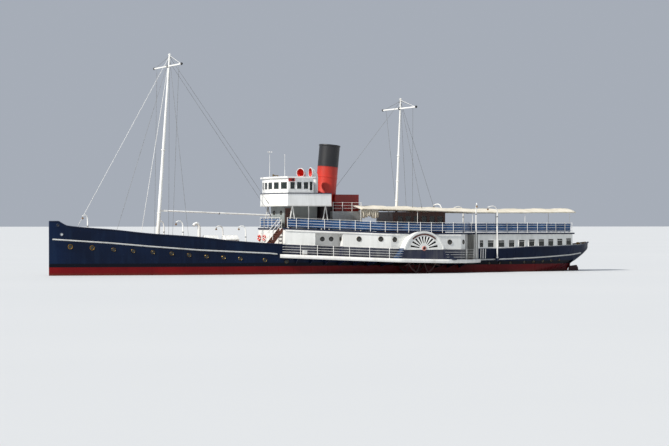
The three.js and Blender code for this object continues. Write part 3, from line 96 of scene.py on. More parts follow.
# Columns: station x, half-breadth.
PROMENADE_EDGE = [
    [7.0, 3.45], [-3.9, 5.95], [-12.2, 5.95], [-14.4, 3.72],
    [-18.0, 3.72], [-22.3, 3.47], [-24.8, 3.1], [-27.85, 2.5],
]
SPONSON_EDGE = [[7.63, 3.75], [-4.5, 7.0], [-10.05, 7.0], [-12.6, 5.9], [-14.4, 4.5], [-15.45, 3.8]]
PLATING, BULWARK, FLARE_POWER = 0.1, 1.1, 1.4


def straight(table, x, column=1):
    """Reads a table at x with a straight line between its two nearest rows."""
    rows = np.array(table, float)[::-1]
    return np.interp(x, rows[:, 0], rows[:, column])


def smooth(table, x, column=1):
    """Reads a table at x with a cubic between rows: the slope at a row is the harmonic mean of
    the two slopes beside it, or zero at a peak, so the curve never passes a row's own value."""
    rows = np.array(table, float)[::-1]
    stations, values = rows[:, 0], rows[:, column]
    width = np.diff(stations)
    rise = np.diff(values) / width
    before, after = rise[:-1], rise[1:]
    same_way = before * after > 0
    middle = np.where(same_way, 2 * before * after / np.where(same_way, before + after, 1), 0)
    slope = np.concatenate([rise[:1], middle, rise[-1:]])
    leg = np.clip(np.searchsorted(stations, x) - 1, 0, len(width) - 1)
    t = np.clip((x - stations[leg]) / width[leg], 0, 1)
    ends = (1 + 2 * t) * (1 - t) ** 2 * values[leg] + t**2 * (3 - 2 * t) * values[leg + 1]
    lean = t * (1 - t) ** 2 * slope[leg] - t**2 * (1 - t) * slope[leg + 1]
    return ends + lean * width[leg]


def main_deck_z(x):
    return straight(MAIN_DECK, x)


def promenade_z(x):
    return straight(PROMENADE_DECK, x)


def promenade_y(x):
    return straight(PROMENADE_EDGE, x)


def sponson_y(x):
    return straight(SPONSON_EDGE, x)


def rail_z(x):
    return smooth(HULL_SECTIONS, x, RAIL_Z)


def rail_y(x):
    return smooth(HULL_SECTIONS, x, RAIL_Y)


def hull_y(x, z):
    """Half-breadth of the topside: out from the turn to the rail with the 1.4th power of the rise."""
    turn_z = smooth(HULL_SECTIONS, x, TURN_Z)
    rise = np.clip((z - turn_z) / (rail_z(x) - turn_z), 0, 1)
    turn_y = smooth(HULL_SECTIONS, x, TURN_Y)
    return turn_y + (rail_y(x) - turn_y) * rise**FLARE_POWER


print("half-beam amidships", round(float(rail_y(np.array(-3.9))), 2), "m of the ship")

# %% [markdown]
# ## Shapes as arrays
#
# Each helper returns points and faces as whole arrays. A tube, a wall or a lathe turning is one
# profile carried along one path, so its faces are the same grid of quads every time. Many small
# bars or blocks are made in one go, because a rail has hundreds of them.


# %% Grids, bars, blocks, tubes, walls and turnings
def grid_faces(rows, columns, closed=True):
    """Quads between neighbouring points of a grid numbered row by row. closed joins the last
    column to the first."""
    across = np.arange(columns if closed else columns - 1)
    first = np.arange(rows - 1)[:, None] * columns + across
    right = np.arange(rows - 1)[:, None] * columns + (across + 1) % columns
    return np.stack([first, right, right + columns, first + columns], -1).reshape(-1, 4)


def loft(rings, capped=True):
    """A skin over rings of points, shaped (rings, points, 3), with a flat face over each end."""
    count, around = rings.shape[:2]
    faces = [grid_faces(count, around)]
    if capped:
        last = (count - 1) * around
        faces += [np.arange(around)[None, ::-1], last + np.arange(around)[None]]
    return rings.reshape(-1, 3), faces


def hoop(rings):
    """A skin over rings of points whose last ring joins the first, as in a tyre."""
    count, around = rings.shape[:2]
    return rings.reshape(-1, 3), [grid_faces(count + 1, around) % (count * around)]


def surface(points):
    """An open skin over a grid of points, shaped (rows, columns, 3)."""
    return points.reshape(-1, 3), [grid_faces(*points.shape[:2], closed=False)]


def joined(shapes):
    """Several shapes as one, their face numbers shifted past the points before them."""
    points, faces, start = [], [], 0
    for own_points, own_faces in shapes:
        points.append(own_points)
        faces += [face + start for face in own_faces]
        start += len(own_points)
    return np.concatenate(points), faces


def both_sides(shape):
    """The shape and its mirror image in the ship's centre plane, with the image's faces reversed."""
    points, faces = shape
    return joined([shape, (points * [1, -1, 1], [face[:, ::-1] for face in faces])])


def frames(tangent, up=(0, 0, 1)):
    """Two unit vectors square to each tangent: sideways is up cross tangent, and the other is
    tangent cross sideways. Where a tangent runs along up, x takes up's place."""
    tangent = tangent / np.linalg.norm(tangent, axis=-1, keepdims=True)
    up = np.broadcast_to(np.array(up, float), tangent.shape)
    steep = np.abs((tangent * up).sum(-1, keepdims=True)) > 0.98
    side = np.cross(np.where(steep, [1.0, 0.0, 0.0], up), tangent)
    side /= np.linalg.norm(side, axis=-1, keepdims=True)
    return side, np.cross(tangent, side)


def circle(sides):
    angle = 2 * np.pi * np.arange(sides) / sides
    return np.stack([np.cos(angle), np.sin(angle)], -1)

def spokes(sides, side, lift):
    """Unit vectors round each bar, shaped (bars, sides, 3): cosine along side, sine along lift."""
    rim = circle(sides)
    return rim[None, :, :1] * side[:, None] + rim[None, :, 1:] * lift[:, None]


def bars(starts, ends, radius, sides=6, far_radius=None):
    """Round bars from starts to ends, all at once: a ring of points round each end of each bar."""
    starts, ends = np.atleast_2d(np.array(starts, float)), np.atleast_2d(np.array(ends, float))
    radius = np.broadcast_to(radius, len(starts))[:, None, None]
    far_radius = radius if far_radius is None else np.broadcast_to(far_radius, len(starts))[:, None, None]
    around = spokes(sides, *frames(ends - starts))
    points = np.concatenate([starts[:, None] + radius * around, ends[:, None] + far_radius * around], 1)
    first = np.arange(len(starts))[:, None, None] * 2 * sides
    walls = (first + grid_faces(2, sides)[None]).reshape(-1, 4)
    caps = [(first[:, 0] + np.arange(sides)[::-1]), (first[:, 0] + sides + np.arange(sides))]
    return points.reshape(-1, 3), [walls, *caps]


BLOCK_CORNERS = np.array([[a, b, c] for c in (0, 1) for a, b in ((0, 0), (1, 0), (1, 1), (0, 1))], float)
BLOCK_FACES = np.array([[3, 2, 1, 0], [4, 5, 6, 7], [0, 1, 5, 4], [1, 2, 6, 5], [2, 3, 7, 6], [3, 0, 4, 7]])


def blocks(lows, highs):
    """Upright blocks between lowest and highest corners, all at once."""
    lows, highs = np.atleast_2d(np.array(lows, float)), np.atleast_2d(np.array(highs, float))
    points = lows[:, None] + (highs - lows)[:, None] * BLOCK_CORNERS[None]
    faces = np.arange(len(lows))[:, None, None] * 8 + BLOCK_FACES[None]
    return points.reshape(-1, 3), [faces.reshape(-1, 4)]


def curve(points, steps):
    """A smooth path through a few points: each leg is a Catmull-Rom cubic of its four neighbours."""
    points = np.array(points, float)
    padded = np.concatenate([2 * points[:1] - points[1:2], points, 2 * points[-1:] - points[-2:-1]])
    place = np.linspace(0, len(points) - 1, steps)
    leg = np.minimum(place.astype(int), len(points) - 2)
    t = (place - leg)[:, None]
    a, b, c, d = (padded[leg + shift] for shift in range(4))
    return 0.5 * (2 * b + (c - a) * t + (2 * a - 5 * b + 4 * c - d) * t**2 + (3 * b - a - 3 * c + d) * t**3)


def tube(path, radius, sides=8, up=(0, 0, 1)):
    """A round bar along a path, its radius one number or one a point."""
    path = np.array(path, float)
    around = spokes(sides, *frames(np.gradient(path, axis=0), up))
    return loft(path[:, None] + np.broadcast_to(radius, len(path))[:, None, None] * around)


def mitred(path):
    """Sideways vectors of a plan path, long enough at each corner to keep a wall's thickness."""
    path = np.array(path, float)
    leg = np.diff(path, axis=0)
    leg /= np.linalg.norm(leg, axis=1, keepdims=True)
    normal = np.stack([-leg[:, 1], leg[:, 0]], -1)
    before, after = np.concatenate([normal[:1], normal]), np.concatenate([normal, normal[-1:]])
    middle = before + after
    middle /= np.linalg.norm(middle, axis=1, keepdims=True)
    return middle / (middle * after).sum(1, keepdims=True)


def swept(path, profile):
    """A closed profile of [sideways, height] carried along a plan path, shaped (points, 2) or
    (places, points, 2) where it changes. Heights are the ship's own."""
    path = np.array(path, float)
    profile = np.broadcast_to(profile, (len(path), *np.shape(profile)[-2:]))
    plan = path[:, None, :2] + mitred(path[:, :2])[:, None] * profile[..., :1]
    return loft(np.concatenate([plan, profile[..., 1:]], -1))


def wall(path, thickness, low, high, shift=0.0):
    """An upright strip of even thickness between two heights, each one number or one a place."""
    low, high = np.broadcast_to(low, len(path)), np.broadcast_to(high, len(path))
    left, right = np.full(len(path), shift + thickness / 2), np.full(len(path), shift - thickness / 2)
    corners = [np.stack(pair, -1) for pair in ((left, low), (right, low), (right, high), (left, high))]
    return swept(path, np.stack(corners, 1))


def turned(profile, centre, sides=16, axis=(0, 0, 1)):
    """A profile of [radius, distance] spun round an axis through the centre."""
    profile = np.array(profile, float)
    axis = np.array(axis, float) / np.linalg.norm(axis)
    rings = profile[:, None, :1] * spokes(sides, *frames(axis[None])) + profile[:, None, 1:] * axis
    return loft(np.array(centre, float) + rings)


def turned_ring(profile, centre, sides=16, axis=(0, 0, 1)):
    """A closed profile of [radius, distance] spun round an axis, as for a rim with a hole."""
    points, _ = turned(profile, centre, sides, axis)
    return hoop(points.reshape(-1, sides, 3))


def densely(front, aft, spacing=0.3, *tables):
    """Stations from front to aft, close together, with every row of the tables among them."""
    even = np.linspace(front, aft, max(2, int(abs(front - aft) / spacing) + 1))
    rows = np.array([row[0] for table in tables for row in table] or [front])
    rows = rows[(rows < max(front, aft) - 0.02) & (rows > min(front, aft) + 0.02)]
    found = np.unique(np.concatenate([even, rows]))
    return found[::-1] if front > aft else found


print("a tube of 3 points has", len(tube([[0, 0, 0], [1, 0, 0], [2, 0, 1]], 0.1)[0]), "points")

# %% [markdown]
# ## From arrays to a Blender object
#
# A finished piece sits at the origin with its place in its mesh, as the frame's own parts do.
# All its shapes go into one mesh with one material number a face. Normals are recalculated so
# that every closed shape faces outwards, and edges steeper than 35 degrees stay sharp.


# %% One piece from many shapes
SHARP = math.radians(35)


def mesh_of(name, parts):
    """One mesh from rows of shape and material, scaled to the model."""
    mesh = bpy.data.meshes.new(name)
    points, loops, sizes, painted, start = [], [], [], [], 0
    for number, ((own_points, own_faces), material) in enumerate(parts):
        mesh.materials.append(material)
        points.append(own_points)
        for face in own_faces:
            loops.append((face + start).ravel())
            sizes.append(np.full(len(face), face.shape[1]))
            painted.append(np.full(len(face), number))
        start += len(own_points)
    points = np.concatenate(points) * MODEL_PER_SHIP
    loops, sizes, painted = (np.concatenate(row).astype(np.int32) for row in (loops, sizes, painted))
    mesh.vertices.add(len(points))
    mesh.vertices.foreach_set("co", points.astype(np.float32).ravel())
    mesh.loops.add(len(loops))
    mesh.loops.foreach_set("vertex_index", loops)
    mesh.polygons.add(len(sizes))
    mesh.polygons.foreach_set("loop_start", np.concatenate([[0], np.cumsum(sizes)[:-1]]).astype(np.int32))
    mesh.polygons.foreach_set("loop_total", sizes)
    mesh.polygons.foreach_set("material_index", painted)
    mesh.update(calc_edges=True)
    return mesh

def piece(name, parts, body="root", replaces=(), both=False, weld=False, bevel=0.0):
    """parts are rows of shape and material, made on both sides of the ship where both is set.
    The piece rides on its body unless body is None, and may stand for nodes of the frame."""
    if both:
        parts = [(both_sides(shape), material) for shape, material in parts]
    mesh = mesh_of(name, parts)
    tidy_mesh(mesh, weld)
    made = bpy.data.objects.new(name, mesh)
    bpy.context.scene.collection.objects.link(made)
    if bevel:
        edge = made.modifiers.new("softened edges", "BEVEL")
        edge.width, edge.segments, edge.limit_method = bevel * MODEL_PER_SHIP, 2, "ANGLE"
    if body:
        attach(made, body)
    if replaces:
        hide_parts(*replaces)
    print(name, len(mesh.polygons), "faces")
    return made


def tidy_mesh(mesh, weld):
    """Welds doubled points where asked, faces every shell outwards, and shades it smooth up to
    the sharp angle."""
    work = bmesh.new()
    work.from_mesh(mesh)
    if weld:
        bmesh.ops.remove_doubles(work, verts=work.verts, dist=1e-5)
    bmesh.ops.recalc_face_normals(work, faces=work.faces)
    work.to_mesh(mesh)
    work.free()
    mesh.polygons.foreach_set("use_smooth", np.ones(len(mesh.polygons), bool))
    mesh.set_sharp_from_angle(angle=SHARP)

# %% [markdown]
# ## Paint, wood, canvas and metal
#
# Every finish is built from nodes on Object coordinates, which are metres of the model. A ship's
# paint is never one even colour: it is mottled in broad clouds, streaked down its height by rain,
# and a little rough where it has been painted over and over. So one recipe makes most paints,
# and the special ones add bands, plates, planks or a weave to it.


# %% Small helpers for nodes
def linear(colour):
    """A screen colour such as #1c2b55 as the linear values that a shader wants."""
    parts = np.array([int(colour[place : place + 2], 16) / 255 for place in (1, 3, 5)])
    values = np.where(parts <= 0.04045, parts / 12.92, ((parts + 0.055) / 1.055) ** 2.4)
    return (*values.tolist(), 1.0)


def new_material(name, roughness=0.5, metallic=0.0, specular=0.5):
    """An empty material whose one Principled shader has its even numbers set on its sockets."""
    material = bpy.data.materials.new(name)
    material.use_nodes = True
    shader = material.node_tree.nodes["Principled BSDF"]
    shader.inputs["Roughness"].default_value = roughness
    shader.inputs["Metallic"].default_value = metallic
    shader.inputs["Specular IOR Level"].default_value = specular
    return material, shader


def add(material, kind, sockets=None, **settings):
    """One node. Its sockets take a number, a screen colour or another node's output."""
    made = material.node_tree.nodes.new(kind)
    for name, value in settings.items():
        setattr(made, name, value)
    for name, value in (sockets or {}).items():
        if isinstance(value, bpy.types.NodeSocket):
            material.node_tree.links.new(value, made.inputs[name])
        else:
            made.inputs[name].default_value = linear(value) if isinstance(value, str) else value
    return made


def place_of(material, stretch=(1, 1, 1)):
    """Object coordinates, stretched so that a pattern runs long or short along an axis."""
    where = add(material, "ShaderNodeTexCoord").outputs["Object"]
    if stretch == (1, 1, 1):
        return where
    return add(material, "ShaderNodeMapping", {"Vector": where, "Scale": stretch}).outputs["Vector"]


def noise(material, scale, detail=4.0, stretch=(1, 1, 1)):
    found = add(material, "ShaderNodeTexNoise", {
        "Vector": place_of(material, stretch), "Scale": scale, "Detail": detail,
    })
    return found.outputs["Fac"]


def between(material, value, low, high, out_low=0.0, out_high=1.0):
    """The value's place between low and high, carried to another range and held there."""
    found = add(material, "ShaderNodeMapRange", {
        "Value": value, "From Min": low, "From Max": high, "To Min": out_low, "To Max": out_high,
    })
    return found.outputs["Result"]


def math_of(material, operation, *values):
    return add(material, "ShaderNodeMath", dict(enumerate(values)), operation=operation).outputs["Value"]

def vector_math(material, operation, *vectors):
    return add(material, "ShaderNodeVectorMath", dict(enumerate(vectors)), operation=operation).outputs

def axes_of(material):
    """Object coordinates one by one, under the names X, Y and Z."""
    return add(material, "ShaderNodeSeparateXYZ", {"Vector": place_of(material)}).outputs

def bricks(material, across, up, sockets):
    """A brick pattern laid on two of a piece's own axes."""
    flat = add(material, "ShaderNodeCombineXYZ", {"X": across, "Y": up}).outputs["Vector"]
    return add(material, "ShaderNodeTexBrick", {"Vector": flat, "Scale": 1.0, **sockets}).outputs

def wave(material, scale, distortion, way):
    sockets = {"Vector": place_of(material), "Scale": scale, "Distortion": distortion}
    return add(material, "ShaderNodeTexWave", sockets, bands_direction=way).outputs["Fac"]


def mixed(material, share, first, second):
    """First colour where share is 0 and second where it is 1."""
    made = add(material, "ShaderNodeMix", {0: share, 6: first, 7: second}, data_type="RGBA")
    return made.outputs[2]


def link(material, output, shader, socket):
    material.node_tree.links.new(output, shader.inputs[socket])

def bumped(material, shader, value, strength, distance):
    made = add(material, "ShaderNodeBump", {"Height": value, "Strength": strength, "Distance": distance})
    link(material, made.outputs["Normal"], shader, "Normal")

def set_colour(material, shader, share, first, second):
    link(material, mixed(material, share, first, second), shader, "Base Color")

def set_roughness(material, shader, value, smoothest, roughest, high=0.7):
    link(material, between(material, value, 0.3, high, smoothest, roughest), shader, "Roughness")

def weather(material, shader, colour, dirt, share, roughness, strength=0.12):
    """Clouds and rain streaks of dirt over a colour, with a fine grain in roughness and height."""
    cloud = noise(material, 0.9, 5.0)
    streak = noise(material, 5.0, 4.0, stretch=(1, 1, 0.12))
    marks = between(material, math_of(material, "MULTIPLY", cloud, streak), 0.16, 0.42, 0.0, share)
    set_colour(material, shader, marks, colour, dirt)
    grain = noise(material, 28.0, 5.0)
    set_roughness(material, shader, grain, roughness - 0.06, roughness + 0.1)
    bumped(material, shader, grain, strength, 0.004)

def paint(name, colour, dirt, share=0.5, roughness=0.4, strength=0.12):
    """Brushed ship's paint in one colour."""
    material, shader = new_material(name)
    weather(material, shader, colour, dirt, share, roughness, strength)
    return material

def metal(name, colour, worn, roughness=0.35, metallic=1.0):
    """Bare metal with duller patches."""
    material, shader = new_material(name, roughness, metallic)
    patch = noise(material, 14.0, 6.0)
    set_colour(material, shader, between(material, patch, 0.4, 0.65), colour, worn)
    set_roughness(material, shader, patch, roughness - 0.1, roughness + 0.15)
    bumped(material, shader, noise(material, 60.0), 0.1, 0.003)
    return material

# %% [markdown]
# ## The hull's paint
#
# Her side is painted in level bands: red below, a thin black boot line and navy above. The bands
# follow the water and not the sheer, so they come from the height of each point. The plating
# shows as faint seams, which a brick pattern on length and height gives.

# %% Hull paint with its bands
RED_TOP, BOOT_TOP = 0.82, 1.18
PLATE_LENGTH, STRAKE_HEIGHT = 3.6, 0.95


def hull_paint():
    """Bands by height, the red darkened aft with painted shade where the side turns from the light,
    and plate seams.
    """
    material, shader = new_material("hull paint", specular=0.12)
    split = axes_of(material)
    level = math_of(material, "MULTIPLY", split["Z"], 1 / MODEL_PER_SHIP)
    over_red = between(material, level, RED_TOP - 0.02, RED_TOP + 0.02)
    over_boot = between(material, level, BOOT_TOP - 0.03, BOOT_TOP + 0.03)
    patches = between(material, noise(material, 0.55, 6.0), 0.35, 0.7)
    streak = noise(material, 4.0, 5.0, stretch=(1, 1, 0.1))
    chalked = between(material, streak, 0.5, 0.75, 0.0, 0.35)
    navy = mixed(material, chalked, mixed(material, patches, "#071329", "#0b1c38"), "#1a2c44")
    # Painted shade: aft, the red is mixed up to half way towards a darker red.
    painted_shade_aft = between(material, split["X"], -13.5, 3.0, 0.5, 0.0)
    red = mixed(material, painted_shade_aft, mixed(material, patches, "#5f0b10", "#750f13"), "#3d1016")
    weed = between(material, level, 0.02, 0.3, 0.75, 0.0)
    red = mixed(material, math_of(material, "MULTIPLY", weed, streak), red, "#4a3f2c")
    side = mixed(material, over_boot, "#080b16", navy)
    plates = bricks(material, split["X"], split["Z"], {
        "Mortar Size": 0.006, "Mortar Smooth": 0.6,
        "Brick Width": PLATE_LENGTH * MODEL_PER_SHIP, "Row Height": STRAKE_HEIGHT * MODEL_PER_SHIP,
    })["Fac"]
    seams = math_of(material, "MULTIPLY", plates, 0.3)
    set_colour(material, shader, seams, mixed(material, over_red, red, side), "#0a0d18")
    set_roughness(material, shader, streak, 0.22, 0.42)
    dents = math_of(material, "MULTIPLY", noise(material, 1.1, 2.0), 6.0)
    bumped(material, shader, math_of(material, "SUBTRACT", dents, plates), 0.35, 0.006)
    return material

# %% [markdown]
# ## Houses, funnel, decks and canvas
#
# The houses are white above and navy below, and the line between them follows the sheer of the
# hull, which two straight lines describe well. The funnel's black top is square to its raked
# axis. Deck planks are a brick pattern of long thin bricks, and canvas is two fine crossed waves.

# %% Special finishes
HOUSE_LINE = ((0.0413, 2.811), (0.0165, 2.715))
HOUSE_NAVY, HOUSE_WHITE = "#0c1534", "#e9eae7"
FUNNEL_AXIS = np.array([-math.sin(math.radians(5.5)), 0, math.cos(math.radians(5.5))])
FUNNEL_FOOT = np.array([0.97, 0, 6.95])
FUNNEL_BLACK_FROM = 4.17
# These are in metres of the model, as Object coordinates are.
BOX_AXIS, BOX_HOLLOW, BOX_FACE, BOX_LINE = (-3.595, 0.0, 1.0), 1.15, 3.475, 1.25
CASING_LEDGE = 3.22
PLANK_LENGTH, PLANK_WIDTH, PLANK_SEAM = 2.0, 0.06, 0.004

def house_paint():
    """White over navy. The line is the higher of two straight lines along the length."""
    material, shader = new_material("house paint")
    split = axes_of(material)
    lines = []
    for slope, start in HOUSE_LINE:
        rise = math_of(material, "MULTIPLY", split["X"], slope)
        lines.append(math_of(material, "ADD", rise, start * MODEL_PER_SHIP))
    over = math_of(material, "SUBTRACT", split["Z"], math_of(material, "MAXIMUM", *lines))
    colour = mixed(material, between(material, over, -0.004, 0.004), HOUSE_NAVY, HOUSE_WHITE)
    weather(material, shader, colour, "#8f9087", 0.3, 0.42)
    return material

def funnel_paint():
    """Red, with a black top above a ring square to the funnel's axis, and soot creeping below it."""
    material, shader = new_material("funnel paint")
    foot = tuple((FUNNEL_FOOT * MODEL_PER_SHIP).tolist())
    from_foot = vector_math(material, "SUBTRACT", place_of(material), foot)["Vector"]
    along = vector_math(material, "DOT_PRODUCT", from_foot, tuple(FUNNEL_AXIS))["Value"]
    edge = FUNNEL_BLACK_FROM * MODEL_PER_SHIP
    top = between(material, along, edge - 0.005, edge + 0.005)
    soot = between(material, along, edge - 0.5, edge, 0.0, 0.5)
    soot = math_of(material, "MULTIPLY", soot, noise(material, 6.0, 5.0, stretch=(1, 1, 0.2)))
    colour = mixed(material, top, mixed(material, soot, "#c42e1c", "#4a1d18"), "#1b1d21")
    weather(material, shader, colour, "#35302e", 0.28, 0.42, 0.15)
    return material

def planks(material, board, lighter, softness):
    """Bricks four metres by twelve centimetres of the ship, with dark seams."""
    split = axes_of(material)
    return bricks(material, split["X"], split["Y"], {
        "Color1": board, "Color2": lighter, "Mortar": "#1d1712", "Mortar Size": PLANK_SEAM,
        "Mortar Smooth": softness, "Brick Width": PLANK_LENGTH, "Row Height": PLANK_WIDTH,
    })

def deck_planks():
    """Bare planks, worn pale in streaks along their grain."""
    material, shader = new_material("deck planks", 0.7)
    boards = planks(material, "#8a6d4c", "#9a7c58", 0.3)
    grain = noise(material, 10.0, 6.0, stretch=(0.15, 2, 2))
    set_colour(material, shader, between(material, grain, 0.4, 0.75, 0.0, 0.5), boards["Color"], "#b9a68a")
    bumped(material, shader, math_of(material, "SUBTRACT", grain, boards["Fac"]), 0.35, 0.003)
    return material

def planked(name, edge):
    """Planks on faces that look up, and paint on upright ones and below."""
    material, shader = new_material(name, 0.6)
    normal = add(material, "ShaderNodeNewGeometry").outputs["Normal"]
    up = add(material, "ShaderNodeSeparateXYZ", {"Vector": normal}).outputs["Z"]
    boards = planks(material, "#86694a", "#8f7352", 0.1)
    colour = mixed(material, between(material, up, 0.5, 0.6), edge, boards["Color"])
    weather(material, shader, colour, "#77746a", 0.3, 0.55, 0.15)
    return material

def wood(name, colour, dark, roughness=0.35, stretch=(1, 8, 8)):
    """Varnished wood: a long grain that darkens in streaks."""
    material, shader = new_material(name, roughness)
    grain = noise(material, 3.0, 8.0, stretch=stretch)
    set_colour(material, shader, between(material, grain, 0.35, 0.65), dark, colour)
    set_roughness(material, shader, grain, roughness - 0.08, roughness + 0.15)
    bumped(material, shader, grain, 0.15, 0.003)
    return material

def canvas(name, colour, faded, weave=200.0):
    """Woven cloth: two crossed waves for the threads, with a faded cloud and a soft sheen."""
    material, shader = new_material(name, 0.85, specular=0.2)
    shader.inputs["Sheen Weight"].default_value = 0.25
    cloud = noise(material, 1.6, 6.0)
    damp = noise(material, 3.0, 4.0, stretch=(1, 1, 0.25))
    marks = between(material, math_of(material, "MULTIPLY", cloud, damp), 0.14, 0.4)
    set_colour(material, shader, marks, colour, faded)
    crossed = math_of(material, "ADD", *(wave(material, weave, 0.3, way) for way in ("X", "Z")))
    folds = math_of(material, "MULTIPLY", noise(material, 7.0, 3.0), 5.0)
    bumped(material, shader, math_of(material, "ADD", crossed, folds), 0.3, 0.004)
    return material

def glass(name, colour):
    """Dark ship's glass: nearly a mirror, with a little dust."""
    material, shader = new_material(name, 0.08, specular=0.7)
    shader.inputs["Alpha"].default_value = 0.82
    dust = noise(material, 9.0, 5.0)
    set_colour(material, shader, between(material, dust, 0.4, 0.8, 0.0, 0.35), colour, "#4c5450")
    set_roughness(material, shader, dust, 0.04, 0.2, high=0.8)
    return material

def rope(name, colour, dark):
    """Laid rope: a wave on a slant, so that the strands wind round."""
    material, shader = new_material(name, 0.8, specular=0.2)
    strands = wave(material, 60.0, 1.0, "DIAGONAL")
    set_colour(material, shader, strands, dark, colour)
    bumped(material, shader, strands, 0.4, 0.004)
    return material

def box_paint():
    """The house's white over navy, and painted shade, black, in the hollow drum: near its axis
    and inside the box's outer face."""
    material, shader = new_material("paddle box paint", 0.42)
    split = axes_of(material)
    line = between(material, split["Z"], BOX_LINE - 0.003, BOX_LINE + 0.003)
    from_axis = vector_math(material, "SUBTRACT", place_of(material), BOX_AXIS)["Vector"]
    flat = vector_math(material, "MULTIPLY", from_axis, (1, 0, 1))["Vector"]
    reach = vector_math(material, "LENGTH", flat)["Value"]
    near_axis = between(material, reach, BOX_HOLLOW + 0.004, BOX_HOLLOW - 0.004)
    outboard = math_of(material, "ABSOLUTE", split["Y"])
    within = between(material, outboard, BOX_FACE + 0.001, BOX_FACE - 0.001)
    hollow = math_of(material, "MULTIPLY", near_axis, within)
    # Painted shade: inside the drum the paint is black, standing in for the shade in it.
    colour = mixed(material, hollow, mixed(material, line, HOUSE_NAVY, HOUSE_WHITE), "#0a0b0d")
    weather(material, shader, colour, "#8b8a80", 0.25, 0.42)
    return material

def casing_paint():
    """Dark red above the level of the casing's ledge, and the deckhouses' pale grey below it."""
    material, shader = new_material("casing paint", 0.45)
    over = between(material, axes_of(material)["Z"], CASING_LEDGE - 0.003, CASING_LEDGE + 0.003)
    weather(material, shader, mixed(material, over, "#a9afb0", "#741009"), "#3a1a16", 0.4, 0.42)
    return material

# %% The finishes of this ship
HULL = hull_paint()
HOUSE = house_paint()
FUNNEL = funnel_paint()
WHITE = paint("white paint", "#eff0ee", "#9a9a90", 0.3, 0.4)
RAIL_WHITE = paint("rail white", "#f1f1ee", "#a09a8c", 0.35, 0.38)
GREY = paint("deckhouse grey", "#8f9695", "#5c605c", 0.4, 0.5)
PALE_GREY = paint("pale grey paint", "#b6bcbd", "#787b78", 0.35, 0.5)
NAVY = paint("navy trim", "#0f1c38", "#222e44", 0.4, 0.4)
# A lighter navy that paints sunlight on the forward apron: a painted highlight.
PAINTED_SUNLIT_NAVY = paint("navy with painted sunlight", "#21395a", "#182a45", 0.4, 0.4)
# Greyer than the other whites: painted shade on the strakes' upright faces.
STRAKE_WHITE_PAINTED_SHADE = paint("strake white with painted shade", "#c6c8c6", "#85857c", 0.5, 0.45)
CASING = casing_paint()
WHEEL = paint("paddle wheel red", "#340e0b", "#190c09", 0.6, 0.6, 0.3)
INNER_RED = paint("cowl red", "#d02c20", "#7e241c", 0.3, 0.4)
BLACK = paint("black paint", "#1b1d20", "#3a3935", 0.5, 0.4)
BROWN = paint("brown moulding", "#5a3226", "#38231c", 0.4, 0.45)
MACHINERY = paint("machinery green", "#4c5a50", "#232620", 0.6, 0.5, 0.3)
STEEL = metal("bare steel", "#9a9c9e", "#6c665e", 0.35)
BRASS = metal("brass", "#b08a45", "#6e5830", 0.35)
BRONZE = metal("dark bronze", "#4a3d2a", "#2b241b", 0.45, 0.7)
DULL_BRASS = metal("dull brass", "#7d673c", "#443a26", 0.42)
SIDE_RED = paint("port light red", "#b3221c", "#6a201a", 0.25, 0.35)
SIDE_GREEN = paint("starboard light green", "#1f6f46", "#204a34", 0.25, 0.35)
SALOON = paint("saloon white", "#e9eae7", "#8f9087", 0.3, 0.42)
BOX_PAINT = box_paint()
SIDE_DECK = planked("side deck", HOUSE_NAVY)
UPPER_DECK = planked("upper deck", "#dcdcd8")
RED_LEAD = paint("red lead", "#431317", "#241012", 0.6, 0.5)
FUNNEL_FOOT_BLACK = paint("funnel foot black", "#1c1d20", "#4a1d18", 0.5, 0.45)
STAIR_WOOD = wood("red stair wood", "#6e3422", "#45200f", 0.45)
CABIN_GLASS = glass("cabin glass", "#1a2422")
DECK = deck_planks()
PLANK_WOOD = wood("weathered teak", "#9c7a52", "#6a4c30", 0.6)
DARK_WOOD = wood("dark varnish", "#5c2f1c", "#351a10", 0.3, stretch=(8, 8, 1))
BLUE_CANVAS = canvas("blue canvas", "#1a3b66", "#2f5c8c")
CREAM_CANVAS = canvas("cream canvas", "#e8e1d1", "#cdc4ac")
GLASS = glass("dark glass", "#10150f")
BLUE_CORD = rope("blue lacing cord", "#2c5080", "#1a3558")
WIRE = metal("rigging wire", "#8b8d8e", "#55544f", 0.5, 0.6)
BUOY_RED = paint("lifebuoy red", "#d8301f", "#8e2c20", 0.3, 0.5)
HUB_PINK = paint("faded hub red", "#b5746a", "#7d3f36", 0.5, 0.5)
print(len(bpy.data.materials), "finishes")

# %% [markdown]
# ## Camera, light and floor
#
# The camera comes before any piece, because every later choice is judged through it. It stands
# off the port bow with the eye five metres over the water, as in the photograph, and its long
# lens flattens the ship. The sun is soft and stands a little off the port bow, so faces that
# look forward are brightest and the long side is a shade darker. The floor lies at the waterline.

# %% Camera, floor, sky and sun
CAMERA_AT = (95.13, 206.5, 5.02)
CAMERA_BEARING = math.radians(24.78)
CAMERA_PITCH = math.radians(0.053)
LENS_MM, SENSOR_MM, NEAREST, FARTHEST = 116.66, 36.0, 1.0, 4000.0
SUN_HEIGHT, SUN_OFF_BOW, SUN_WIDTH = math.radians(38), math.radians(11), math.radians(3)
SUN_STRENGTH, SUN_COLOUR = 4.6, (1.0, 0.96, 0.9)
SKY_STRENGTH, SKY_COLOUR = 0.58, (0.66, 0.72, 0.82, 1)
FLOOR_HALF = 3000.0


def make_camera():
    data = bpy.data.cameras.new("camera")
    data.lens, data.sensor_width, data.clip_start, data.clip_end = LENS_MM, SENSOR_MM, NEAREST, FARTHEST
    camera = bpy.data.objects.new("camera", data)
    bpy.context.scene.collection.objects.link(camera)
    camera.location = np.array(CAMERA_AT) * MODEL_PER_SHIP
    camera.rotation_euler = (math.pi / 2 + CAMERA_PITCH, 0, math.pi - CAMERA_BEARING)
    bpy.context.scene.camera = camera


